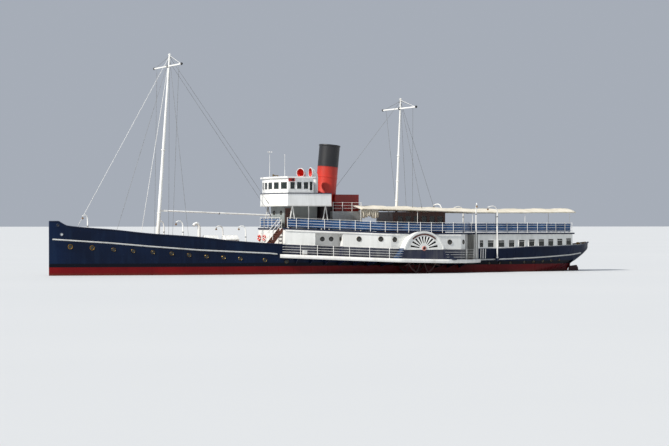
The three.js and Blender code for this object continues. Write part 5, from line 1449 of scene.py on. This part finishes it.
def curtain_grid():
    """Cloth gathered along the awning's edge: y swings out and in by a sine of the way along,
    wider towards the hanging foot, whose height also wanders."""
    walk = np.linspace(0, 1, 90)[:, None]
    drop = np.linspace(0, 1, 9)[None]
    x = -1.66 - 2.05 * walk + 0.05 * np.sin(31 * walk) * drop
    swing = np.sin(2 * np.pi * 9 * walk) + 0.4 * np.sin(2 * np.pi * 15 * walk + 1)
    y = awning_y(np.array(-3.0)) - 0.16 + (0.035 + 0.075 * np.sin(np.pi * drop) ** 0.8) * swing
    foot = 0.78 + 0.12 * np.sin(2 * np.pi * 1.6 * walk) + 0.03 * np.sin(40 * walk)
    z = awning_z(x) - 0.12 - foot * drop
    return np.stack([x, y, z], -1)


def make_curtain():
    grid = curtain_grid()
    made = cloth("canvas_curtain", grid, CREAM_CANVAS)


make_awning()
make_curtain()

# %% [markdown]
# ## Bridge and wheelhouse
#
# The wheelhouse is a white box with a bowed front and a window in each panel. The openings are
# cut in the frame, so here each gets a white frame and a pane of glass, following the same
# bowed outline. The bulwark round the bridge has a navy capping, and the roof a rounded lip.

# %% Bridge capping, wheelhouse windows and roof
BRIDGE_AFT, BRIDGE_CORNER, BRIDGE_BOW, BRIDGE_HALF_Y = 1.79, 6.74, 0.55, 3.6
BRIDGE_DECK_Z, BULWARK_TOP_Z, ROOF_TOP_Z = 7.08, 8.28, 9.97
HOUSE_AFT, HOUSE_CORNER, HOUSE_HALF_Y = 3.74, 6.58, 3.4
SILL_Z, HEAD_Z = 8.72, 9.42
# Columns: front x, aft x, sill, head.
SIDE_WINDOWS = [
    (6.35, 5.85, SILL_Z, HEAD_Z), (5.6, 5.1, SILL_Z, HEAD_Z), (4.85, 4.35, SILL_Z, HEAD_Z),
    (4.18, 3.86, 8.57, 9.47),
]
LIP = np.array([[-0.03, -0.14], [0.04, -0.14], [0.06, -0.07], [0.04, 0.01], [-0.03, 0.02]])
CAPPING = np.array([[-0.07, -0.05], [0.07, -0.05], [0.08, 0.0], [0.05, 0.04], [-0.05, 0.04], [-0.08, 0.0]])


def bowed(corner, half_y, steps=6):
    """A front that bows forward: x = corner plus bow times (1 - share squared), share across."""
    share = np.linspace(-1, 1, steps + 1)
    return np.stack([corner + BRIDGE_BOW * (1 - share**2), -half_y * share], -1)


def house_outline(corner, half_y, aft):
    return np.concatenate([[[aft, half_y]], bowed(corner, half_y), [[aft, -half_y]]])


def level_profile(path, height_up, shape):
    return swept(path, profile_over(np.full(len(path), height_up), shape))


def front_window(y):
    """The two ends of a front window, read from the bowed outline at its two half-breadths."""
    outline_xy = bowed(HOUSE_CORNER - 0.04, HOUSE_HALF_Y - 0.04)[::-1]
    return [[float(np.interp(end, outline_xy[:, 1], outline_xy[:, 0])), end] for end in (y - 0.48, y + 0.48)]


def make_wheelhouse_windows():
    made = [window(*front_window(y), SILL_Z, HEAD_Z, 0.045, 0.12) for y in (-2.72, -1.36, 0.0, 1.36, 2.72)]
    back = HOUSE_AFT + 0.04
    made += [window([back, y + 0.4], [back, y - 0.4], SILL_Z, HEAD_Z) for y in (-1.2, 0, 1.2)]
    sides = [window([front, HOUSE_HALF_Y - 0.04], [aft, HOUSE_HALF_Y - 0.04], low, high, 0.045, 0.12)
             for front, aft, low, high in SIDE_WINDOWS]
    frames_made = [row[0] for row in made] + [both_sides(row[0]) for row in sides]
    panes = [row[1] for row in made] + [both_sides(row[1]) for row in sides]
    piece("wheelhouse_windows", [(joined(frames_made), RAIL_WHITE), (joined(panes), CABIN_GLASS)])


def make_bridge_trim():
    round_bridge = house_outline(BRIDGE_CORNER - 0.04, BRIDGE_HALF_Y - 0.04, BRIDGE_AFT)
    round_roof = house_outline(HOUSE_CORNER + 0.14, HOUSE_HALF_Y + 0.14, HOUSE_AFT - 0.14)
    closed_roof = np.concatenate([round_roof, round_roof[:1]])
    piece("bridge_capping", [(level_profile(round_bridge, BULWARK_TOP_Z, CAPPING), NAVY)])
    piece("wheelhouse_roof_lip", [(level_profile(closed_roof, ROOF_TOP_Z, LIP * [-1, 1]), RAIL_WHITE)])
    seam = [wall(round_bridge, 0.075, BRIDGE_DECK_Z - 0.13, BRIDGE_DECK_Z + 0.03)]
    piece("bridge_deck_edge", [(joined(seam), RAIL_WHITE)])
    for side, name in ((1, "port"), (-1, "starboard")):
        pane = wall([[3.775, side * 2.345], [3.775, side * 2.805]], 0.016, 8.355, 8.965)
        knob = turned([[0.03, 0], [0.035, 0.02], [0.02, 0.045]], (3.74, side * 2.29, 8.1), 10, (-1, 0, 0))
        piece(f"door_{name}_pane", [(pane, CABIN_GLASS), (knob, BRASS)], body=f"door_{name}")


make_wheelhouse_windows()
make_bridge_trim()

# %% Poles, lamps and a horn on the roof
# Columns: radius, distance along the axis.
WIND_CUP = [[0.01, -0.05], [0.055, -0.02], [0.06, 0.03]]
HORN = [[0.03, 0], [0.035, 0.35], [0.06, 0.5], [0.13, 0.62]]
SIDE_LAMP = [[0.02, 0], [0.075, 0.0], [0.075, 0.17], [0.085, 0.18], [0.05, 0.22], [0.02, 0.24]]
CUP_ANGLES, ROOF_Z = (0.3, 2.4, 4.5), 9.95


def pole(foot, top_z, radius=0.03):
    """A thin tapering mast with a foot flange and a ball."""
    top = [foot[0], foot[1], top_z]
    return [
        bars(foot, top, radius, 8, 0.6 * radius),
        turned([[0.08, 0], [0.08, 0.03], [0.04, 0.06]], foot, 10),
        turned([[0.01, -0.05], [0.045, -0.03], [0.055, 0.0], [0.045, 0.03], [0.01, 0.05]], top, 10),
    ]


def make_roof_fittings():
    """Two poles, three wind cups on the head of the forward one, and a horn on its bracket."""
    hub = np.array([6.76, -1.0, 12.6])
    poles = [*pole([6.76, -1.0, ROOF_Z], 12.62), *pole([5.92, 1.0, ROOF_Z], 12.25)]
    for angle in CUP_ANGLES:
        out = np.array([math.cos(angle), math.sin(angle), 0])
        tip = hub + 0.22 * out
        poles += [bars(hub, tip, 0.012), turned(WIND_CUP, tip, 8, (-out[1], out[0], 0))]
    horn = turned(HORN, (6.5, 0.7, 10.12), 16, (1, 0, 0.05))
    bracket = bars([6.6, 0.7, ROOF_Z], [6.6, 0.7, 10.12], 0.03)
    brass = joined([horn, bracket])
    piece("wheelhouse_roof_fittings", [(joined(poles), RAIL_WHITE), (brass, BRASS)])


def make_side_lights():
    """A board along each side of the wheelhouse with a lamp before it, red to port and green to
    starboard."""
    for side, name, finish in ((1, "port", SIDE_RED), (-1, "starboard", SIDE_GREEN)):
        low, high = sorted((side * 3.395, side * 3.45))
        board = blocks([5.95, low, 9.5], [6.55, high, 9.82])
        ends = sorted((side * 3.395, side * 3.62))
        back = blocks([5.93, ends[0], 9.5], [5.97, ends[1], 9.82])
        lamp = turned(SIDE_LAMP, (6.1, side * 3.53, 9.54), 14)
        piece(f"side_light_{name}", [(joined([board, back]), finish), (lamp, BLACK)], bevel=0.008)


make_roof_fittings()
make_side_lights()

# %% [markdown]
# ## Funnel, casing and ventilators
#
# The funnel is plate rolled to a tube, so it is one profile turned round its raked axis, with a
# rounded lip, two thin bands and the dark flue inside. A cowl is a pipe whose last bend opens
# into a bell: one ring of points carried round the bend while it widens, and then a second skin
# carried back inside, because the inside is red. The deckhouses round them get their panes,
# portholes and doors, and the casing's top gets a rail.

# %% Funnel
# Columns: radius, distance along the axis.
FUNNEL_PROFILE = [
    [1.25, -2.5], [1.25, -0.06], [1.2, -0.01], [1.11, 0.02], [1.085, 0.08], [1.08, 3.02], [1.11, 3.04],
    [1.11, 3.1], [1.08, 3.12], [1.08, 4.12], [1.1, 4.14], [1.1, 4.2], [1.08, 4.22], [1.08, 6.3],
    [1.125, 6.33], [1.14, 6.39], [1.125, 6.45], [1.08, 6.48], [1.0, 6.48], [0.985, 6.4], [0.98, 4.4],
    [0.1, 4.35],
]
FOOT_ROWS, OUTER_ROWS = 3, 18


def make_funnel():
    points, faces = turned(FUNNEL_PROFILE, FUNNEL_FOOT, 48, FUNNEL_AXIS)
    rows = faces[0].reshape(len(FUNNEL_PROFILE) - 1, -1, 4)
    piece("funnel_plating", [
        ((points, [rows[:FOOT_ROWS].reshape(-1, 4), faces[1]]), FUNNEL_FOOT_BLACK),
        ((points, [rows[FOOT_ROWS:OUTER_ROWS].reshape(-1, 4)]), FUNNEL),
        ((points, [rows[OUTER_ROWS:].reshape(-1, 4), faces[2]]), BLACK),
    ], replaces=["funnel"], weld=True)


make_funnel()

# %% Cowl ventilators, deckhouse fittings and the casing rail
# Places along the middle of the pipe as [forward, sideways, height], and its radius at each.
COWL_PATH = [
    [0, 0, 0], [0, 0, 1.4], [0, 0, 2.6], [0.02, 0, 2.98], [0.12, 0, 3.25], [0.28, 0, 3.37], [0.44, 0, 3.39],
    [0.54, 0, 3.39],
]
COWL_RADII = [0.29, 0.29, 0.29, 0.3, 0.33, 0.39, 0.46, 0.495]
COWL_STEPS, COWL_SIDES, COWL_WALL, COWL_FOOT = 22, 20, 0.03, (2.7, 1.5)
# Columns: radius, distance along the axis.
COWL_FLANGE = [[0.36, 0], [0.36, 0.03], [0.3, 0.06], [0.29, 0.1]]
COWL_LIP = [[0.47, -0.01], [0.515, -0.02], [0.515, 0.01], [0.48, 0.02]]
PANE_COUNT, PANE_FIRST, PANE_PITCH = 6, -6.6, 0.95
CASING_TOP, CASING_RAIL_Y, CASING_RAIL_FRONT, CASING_RAIL_AFT = 6.45, 1.84, 0.85, -2.44
CASING_POSTS, CASING_BARS, CASING_RAIL_TALL = [0.82, -0.27, -1.36, -2.42], [0.31, 0.61, 0.91], 0.92


def make_deckhouse_fittings():
    """Dark panes behind the entrance house's windows, with two portholes and two doors in the
    bridge house."""
    fronts = PANE_FIRST - PANE_PITCH * np.arange(PANE_COUNT)
    fronts = np.insert(np.zeros((PANE_COUNT, 2)), 0, fronts, axis=1)
    panes = blocks(fronts + [-0.62, 1.94, 5.18], fronts + [0.02, 1.965, 5.97])
    piece("entrance_house_panes", [(panes, GLASS)], both=True)
    rim, pane = port_shapes((6.3, 0.92, 6.28), (1, 0, 0), 0.19, 0.05)
    door = blocks([5.58, 1.73, 4.7], [6.2, 1.79, 6.75])
    piece("bridge_house_fittings", [(rim, BRONZE), (pane, GLASS), (door, DARK_WOOD)], both=True)


def make_cowl(side, name, turn):
    """The pipe's path is turned about its own foot, and then stood on the bridge deck."""
    across, up = np.array([math.cos(turn), math.sin(turn), 0]), np.array([0, 0, 1.0])
    sideways = (-across[1], across[0], 0)
    bend = curve(COWL_PATH, COWL_STEPS)
    foot_x, foot_y = COWL_FOOT
    path = bend[:, :1] * across + bend[:, 2:] * up + [foot_x, side * foot_y, BRIDGE_DECK_Z + 0.002]
    radii = np.interp(np.linspace(0, 1, COWL_STEPS), np.linspace(0, 1, len(COWL_RADII)), COWL_RADII)
    outer, inner = (
        tube(path, size, COWL_SIDES, sideways)[0].reshape(COWL_STEPS, COWL_SIDES, 3)
        for size in (radii, radii - COWL_WALL)
    )
    points, faces = loft(np.concatenate([outer, inner[:9:-1]]))
    rows = faces[0].reshape(-1, COWL_SIDES, 4)
    flange = turned(COWL_FLANGE, path[0], COWL_SIDES)
    lip = turned_ring(COWL_LIP, path[-1], COWL_SIDES, across)
    piece(f"cowl_{name}", [
        ((points, [rows[:COWL_STEPS].reshape(-1, 4), faces[1]]), WHITE),
        ((points, [rows[COWL_STEPS:].reshape(-1, 4), faces[2]]), INNER_RED),
        (flange, WHITE), (lip, WHITE),
    ], replaces=[f"cowl_vent_{name}"], weld=True)


def casing_top(x):
    return np.full(np.shape(x), CASING_TOP)


def make_casing_rail():
    path = mirror_path(np.array([[CASING_RAIL_FRONT, CASING_RAIL_Y], [CASING_RAIL_AFT, CASING_RAIL_Y]]))
    feet = [[x, side * CASING_RAIL_Y] for side in (1, -1) for x in CASING_POSTS]
    feet.append([CASING_RAIL_AFT, 0.0])
    shapes = level_bars(path, casing_top, CASING_BARS) + posts(feet, casing_top, CASING_RAIL_TALL)
    piece("casing_rail", [(joined(shapes), RAIL_WHITE)])


make_deckhouse_fittings()
# Columns: side, name, how far the cowl is turned to port.
for side, name, turn in ((1, "port", 0.0), (-1, "starboard", math.radians(30))):
    make_cowl(side, name, turn)
make_casing_rail()

# %% [markdown]
# ## Masts, boom and rigging
#
# The masts, yards and main stays are the frame's. Bands, balls and the rest of the wires are
# added here, each wire a straight thin bar, because standing rigging is set up taut. The wire
# that holds up the boom has one end on the mast and one on a boom that moves; it is one long
# bar with many rings, and it rides on no body.

# %% Mast fittings and wires
FORE_FOOT, FORE_HEAD, FORE_YARD_Z = np.array([19.56, 0, 2.92]), np.array([18.21, 0, 22.3]), 21.1
MAIN_FOOT, MAIN_HEAD, MAIN_YARD_Z = np.array([-7.43, 0, 6.4]), np.array([-7.95, 0, 18.4]), 17.4
YARD_HALF = 3.95
BOOM_TIP, BOOM_LIFT_FROM = np.array([7.6, 1.08, 6.1]), np.array([18.26, 0, 21.6])
YARD_OFF_MAST = [0.12, 0, 0]
WIRE_RADIUS, BOOM_LIFT_RINGS = 0.016, 40
# Columns: radius, distance along the axis.
TRUCK = [[0.02, -0.06], [0.13, -0.04], [0.15, 0.02], [0.09, 0.08], [0.01, 0.1]]
YARD_BALL = [[0.01, -0.14], [0.1, -0.1], [0.14, 0.0], [0.1, 0.1], [0.01, 0.14]]
BOOM_BAND = [[0.085, -0.05], [0.11, -0.04], [0.11, 0.04], [0.085, 0.05]]


def along_mast(foot, head, height_up):
    return foot + (head - foot) * ((height_up - foot[2]) / (head[2] - foot[2]))


def mast_fittings(foot, head, yard_z, foot_radius):
    """Bands round the mast, a truck on its head and a ball at the middle and ends of its yard."""
    inner, outer = foot_radius * 1.05, foot_radius * 1.15
    band = [[inner, -0.06], [outer, -0.05], [outer, 0.05], [inner, 0.06]]
    axis = head - foot
    heights = [foot[2] + 1.2, foot[2] + 3.3, 0.5 * (foot[2] + head[2])]
    bands = [turned(band, along_mast(foot, head, z), 16, axis) for z in heights]
    yard = along_mast(foot, head, yard_z) + YARD_OFF_MAST
    balls = [turned(YARD_BALL, yard + [0, y, 0], 12, (0, 1, 0)) for y in (-YARD_HALF, 0.0, YARD_HALF)]
    return joined([*bands, turned(TRUCK, head, 14)]), joined(balls)


def make_masts():
    for name, row in (("foremast", (FORE_FOOT, FORE_HEAD, FORE_YARD_Z, 0.19)),
                      ("mainmast", (MAIN_FOOT, MAIN_HEAD, MAIN_YARD_Z, 0.14))):
        white, dark = mast_fittings(*row)
        piece(f"{name}_fittings", [(white, RAIL_WHITE), (dark, BLACK)])


def make_wires():
    fore, main = along_mast(FORE_FOOT, FORE_HEAD, 22.1), along_mast(MAIN_FOOT, MAIN_HEAD, 18.2)
    fore_yard = along_mast(FORE_FOOT, FORE_HEAD, FORE_YARD_Z) + YARD_OFF_MAST
    main_yard = along_mast(MAIN_FOOT, MAIN_HEAD, MAIN_YARD_Z) + YARD_OFF_MAST
    yard_end = np.array([0, YARD_HALF - 0.1, 0])
    # Columns: from, to.
    runs = [
        (fore, [24.2, 0.0, 3.35]), (fore, [7.24, 0.0, 7.15]),
        (main, [0.3, 0.0, 8.2]), (main, [-12.1, 0.0, 6.42]),
        (fore_yard + yard_end, fore), (fore_yard - yard_end, fore),
        (main_yard + yard_end, main), (main_yard - yard_end, main),
    ]
    for side in (1, -1):
        foot_y = side * (float(rail_y(np.array(17.2))) - 0.2)
        runs += [
            (fore, [17.2, foot_y, 2.85]), (main, [-9.6, side * 1.9, 6.42]),
            (fore_yard + [0, side * 3.2, 0], [18.9, side * 2.6, 2.95]),
            (main_yard + [0, side * 3.2, 0], [-8.4, side * 1.9, 6.42]),
        ]
    starts, ends = (np.array(row) for row in zip(*runs))
    screws = ends + (starts - ends) / np.linalg.norm(starts - ends, axis=1, keepdims=True) * 0.6
    piece("standing_rigging", [
        (bars(starts, ends, WIRE_RADIUS, 5), WIRE), (bars(ends, screws, 0.035, 6), STEEL),
    ])


def make_boom_lift():
    """The boom's topping lift as one long bar with many rings, riding on no body."""
    path = BOOM_LIFT_FROM + (BOOM_TIP - BOOM_LIFT_FROM) * np.linspace(0, 1, BOOM_LIFT_RINGS)[:, None]
    lift = piece("boom_lift", [(tube(path, WIRE_RADIUS, 6), WIRE)], body=None)
    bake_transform(lift)
    along, middle = np.array([18.45, 0.01, 6.46]) - BOOM_TIP, BOOM_TIP + [0, 0, -0.08]
    bands = [turned_ring(BOOM_BAND, middle + along * share, 14, along) for share in (0.0, 0.5)]
    piece("boom_bands", [(joined(bands), STEEL)], body="boom")


make_masts()
make_wires()
make_boom_lift()

# %% [markdown]
# ## Davits, stairs and deck fittings
#
# The curved davits are the frame's and each turns on its step. A block hangs from the end of
# each arm, so it rides on that davit's own body. The rest are the fittings a visitor would look
# for: handrails on the stairs, lids on the skylights, bollards, drums and lifebuoys.

# %% Davit blocks and steps
# Columns: name, foot x, y, height of the bend, reach along x, reach along y.
DAVITS = [
    ("davit_fore_1", 17.8, 2.75, 5.5, 0.75, 0.0), ("davit_fore_2", 11.15, 3.1, 5.0, 0.75, 0.0),
    ("davit_aft_1", -14.93, 3.94, 7.37, 0.45, 1.0), ("davit_aft_2", -17.55, 3.84, 7.1, 1.15, 0.0),
]
ANCHOR_DAVIT = ("anchor_davit", 27.2, 0.9, 6.1, 0.7, 0.55)
STEP_UP = 0.07
# Columns: radius, distance along the axis.
EYE = [[0.03, -0.015], [0.055, -0.015], [0.055, 0.015], [0.03, 0.015]]
SHEAVE = [[0.09, -0.045], [0.1, -0.02], [0.1, 0.02], [0.09, 0.045]]
POST_BAND = [[0.068, -0.05], [0.09, -0.04], [0.09, 0.04], [0.068, 0.05]]
STEP = [[0.19, -0.2], [0.19, 0.02], [0.165, STEP_UP]]


def davit_floor(x):
    return float(rail_z(np.array(x)) - BULWARK if x > 7.0 else main_deck_z(x))


def davit_fittings(x, y, bend_z, reach_x, reach_y, side):
    """An eye under the end of the arm with a small pulley block, and a band on the post."""
    end = np.array([x + reach_x, side * (y + reach_y), bend_z - 0.2])
    eye = turned_ring(EYE, end - [0, 0, 0.08], 10, (0, 1, 0))
    band = turned_ring(POST_BAND, (x, side * y, bend_z - 1.2), 12)
    return joined([eye, band]), turned(SHEAVE, end - [0, 0, 0.22], 14, (0, 1, 0))


def make_davits():
    steps = []
    rows = [(row, side) for row in DAVITS for side in (1, -1)] + [(ANCHOR_DAVIT, 1)]
    for (name, x, y, bend_z, reach_x, reach_y), side in rows:
        body = name if name == "anchor_davit" else f"{name}_{'port' if side > 0 else 'starboard'}"
        iron, sheave = davit_fittings(x, y, bend_z, reach_x, reach_y, side)
        piece(f"{body}_block", [(iron, STEEL), (sheave, PLANK_WOOD)], body=body)
        if name != "davit_aft_1":
            steps.append(turned(STEP, (x, side * y, davit_floor(x)), 18))
    for side in (1, -1):
        low, high = sorted((side * 3.44, side * 3.84))
        floor = davit_floor(-17.55) + STEP_UP
        steps.append(blocks([-17.67, low, floor - 0.3], [-17.43, high, floor - 0.01]))
    piece("davit_steps", [(joined(steps), NAVY)])


make_davits()

# %% Stairs, lifebuoys, bollards, skylight lids, windlass and capstan
STAIR_STEPS = 11
# Columns: y and z of a lifebuoy's middle on the bulkhead.
BUOY_PLACES = [(-3.1, 3.68), (-1.75, 3.68)]
BUOY_X, BUOY_RADIUS, BUOY_WIDTH, BUOY_DEPTH = 7.09, 0.255, 0.1, 0.07
BUOY_ROUND, BUOY_ACROSS, BUOY_PART, BUOY_RED_PART = 48, 12, 12, 9
# Columns: radius, distance along the axis.
BOLLARD = [[0.11, 0], [0.1, 0.06], [0.09, 0.34], [0.13, 0.38], [0.13, 0.43], [0.06, 0.46]]
DRUM = [
    [0.1, 0.36], [0.3, 0.38], [0.2, 0.44], [0.17, 0.52], [0.2, 0.6], [0.3, 0.68], [0.3, 0.72],
    [0.05, 0.74],
]
GEAR = [[0.05, 0.08], [0.36, 0.08], [0.38, 0.1], [0.38, 0.14], [0.36, 0.16], [0.05, 0.16]]
CAPSTAN_CAP = [[0.16, 1.0], [0.24, 1.05], [0.25, 1.12], [0.18, 1.2], [0.03, 1.24]]
CAPSTAN_X = -29.87


def make_stair_rails():
    shapes = []
    for y in (2.08, 2.97):
        top, foot = np.array([7.1, y, 4.7]), np.array([9.15, y, 2.3])
        shares = np.array([0.02, 0.5, 0.97])[:, None]
        feet = top + (foot - top) * shares
        heads = feet + [0, 0, 0.95]
        shapes += [bars(feet, heads, 0.024), bars(heads[:1], heads[-1:], 0.028, 8),
                   bars(feet[:1] + [0, 0, 0.48], feet[-1:] + [0, 0, 0.48], 0.016)]
    top, foot = np.array([7.1, 2.12, 4.655]), np.array([9.2, 2.12, 2.155])
    lows = top + (foot - top) * np.arange(1, STAIR_STEPS)[:, None] / STAIR_STEPS
    nosings = blocks(lows + [0.05, 0, -0.02], lows + [0.1, 0.81, 0.0])
    piece("stair_rails", [(joined(shapes), RAIL_WHITE), (nosings, BRASS)])


def lifebuoy(y, z):
    """A ring of round section on the bulkhead: four long red parts with a short white one between."""
    around, across = circle(BUOY_ROUND)[:, None], circle(BUOY_ACROSS)[None]
    reach = BUOY_RADIUS + BUOY_WIDTH * across[..., 0]
    depth = BUOY_X + BUOY_DEPTH * across[..., 1] + 0 * around[..., 0]
    points, faces = hoop(np.stack([depth, y + reach * around[..., 0], z + reach * around[..., 1]], -1))
    rows = faces[0].reshape(BUOY_ROUND, BUOY_ACROSS, 4)
    red = np.arange(BUOY_ROUND) % BUOY_PART < BUOY_RED_PART
    return points, rows[red].reshape(-1, 4), rows[~red].reshape(-1, 4)


def make_lifebuoys():
    for number, (y, z) in enumerate(BUOY_PLACES):
        points, red, white = lifebuoy(y, z)
        pins = bars([[6.98, y, z + 0.27]], [[7.2, y, z + 0.27]], 0.02)
        parts = [((points, [red]), BUOY_RED), ((points, [white]), WHITE), (pins, STEEL)]
        piece(f"lifebuoy_{number}", parts, weld=True)


def bollards(x, y, z):
    base = blocks([x - 0.42, y - 0.14, z - 0.02], [x + 0.42, y + 0.14, z + 0.06])
    return [base] + [turned(BOLLARD, (x + shift, y, z), 14) for shift in (-0.24, 0.24)]


def make_bollards():
    shapes = []
    for x in (26.0, 22.2, 9.9):
        y = float(rail_y(np.array(x))) - 0.62
        shapes += bollards(x, y, float(rail_z(np.array(x))) - BULWARK)
    shapes += bollards(-29.0, 0.8, STERN_FLOOR_Z)
    piece("bollards", [(joined(shapes), BLACK)], both=True)


def make_skylights():
    """Sloping lids with bars on both sides of each skylight's pitched top."""
    glass_parts, bar_parts = [], []
    for aft, front in ((13.1, 14.5), (10.9, 12.3)):
        width = (front - aft) / 3
        for side in (1, -1):
            slope = np.array([[0.68 * side, 3.56], [0.08 * side, 3.96]])
            for pane in range(3):
                x0, x1 = aft + pane * width + 0.05, aft + (pane + 1) * width - 0.05
                ring = np.array([[x0, *slope[0]], [x1, *slope[0]], [x1, *slope[1]], [x0, *slope[1]]])
                glass_parts.append(loft(np.stack([ring + [0, 0, 0.012], ring - [0, 0, 0.02]])))
            for x in np.linspace(aft, front, 4):
                bar_parts.append(bars([x, *slope[0]], [x, *slope[1]], 0.03))
            bar_parts += [bars([aft, *row], [front, *row], 0.03) for row in slope]
    piece("skylight_lids", [(joined(glass_parts), WHITE), (joined(bar_parts), RAIL_WHITE)])


def make_windlass():
    z = float(rail_z(np.array(25.2))) - BULWARK + 0.45
    shapes = [turned(row, (25.2, 0, z), 24, (0, side, 0)) for row in (DRUM, GEAR) for side in (1, -1)]
    piece("windlass_drums", [(joined(shapes), MACHINERY)])
    rim = np.insert(circle(8), 2, 0, axis=1)
    ribs = bars([CAPSTAN_X, 0, 1.95] + 0.21 * rim, [CAPSTAN_X, 0, 2.95] + 0.17 * rim, 0.03)
    cap = turned(CAPSTAN_CAP, (CAPSTAN_X, 0, STERN_FLOOR_Z), 20)
    piece("capstan_head", [(cap, BRASS), (ribs, WHITE)])


make_stair_rails()
make_lifebuoys()
make_bollards()
make_skylights()
make_windlass()

# %% [markdown]
# ## Finishes for the frame's own parts
#
# Whatever is left of the frame keeps its shape and only gets a finish. A deck plate is planked
# on top and painted at its edge and below, so its finish looks at which way a face points. The
# hollow drum of a paddle box gets black painted shade, placed by the distance from the wheel's axis.

# %% Assign finishes
NODE_FINISHES = {
    "saloon": SALOON, "forward_house": HOUSE, "aft_house": HOUSE,
    "paddle_box_port": BOX_PAINT, "paddle_box_starboard": BOX_PAINT,
    "paddle_wheel_port": WHEEL, "paddle_wheel_starboard": WHEEL, "paddle_shaft": STEEL,
    "sponson_port": SIDE_DECK, "sponson_starboard": SIDE_DECK,
    "promenade_deck": UPPER_DECK, "bridge_deck": UPPER_DECK,
    "bridge_bulwark": WHITE, "bridge_house": GREY, "saloon_entrance_house": DARK_WOOD, "casing": CASING,
    "wheelhouse": WHITE, "wheelhouse_roof": PALE_GREY,
    "wheelhouse_door_port": DARK_WOOD, "wheelhouse_door_starboard": DARK_WOOD,
    "helm_wheel": DARK_WOOD, "helm_stand": DARK_WOOD, "fore_stairs": STAIR_WOOD,
    "foremast": RAIL_WHITE, "mainmast": RAIL_WHITE, "fore_boom": RAIL_WHITE, "awning_frame": RAIL_WHITE,
    "anchor_davit": RAIL_WHITE, "swan_neck_vent": WHITE, "capstan": WHITE, "windlass": MACHINERY,
    "skylight_fore": WHITE, "skylight_aft": WHITE,
    "engine": MACHINERY, "boiler": BLACK, "rudder": RED_LEAD,
}
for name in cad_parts:
    if name.startswith("davit_"):
        NODE_FINISHES[name] = RAIL_WHITE
for name, finish in NODE_FINISHES.items():
    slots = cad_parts[name].data.materials
    for place in range(len(slots)):
        slots[place] = finish
print(len(NODE_FINISHES), "nodes of the frame finished")
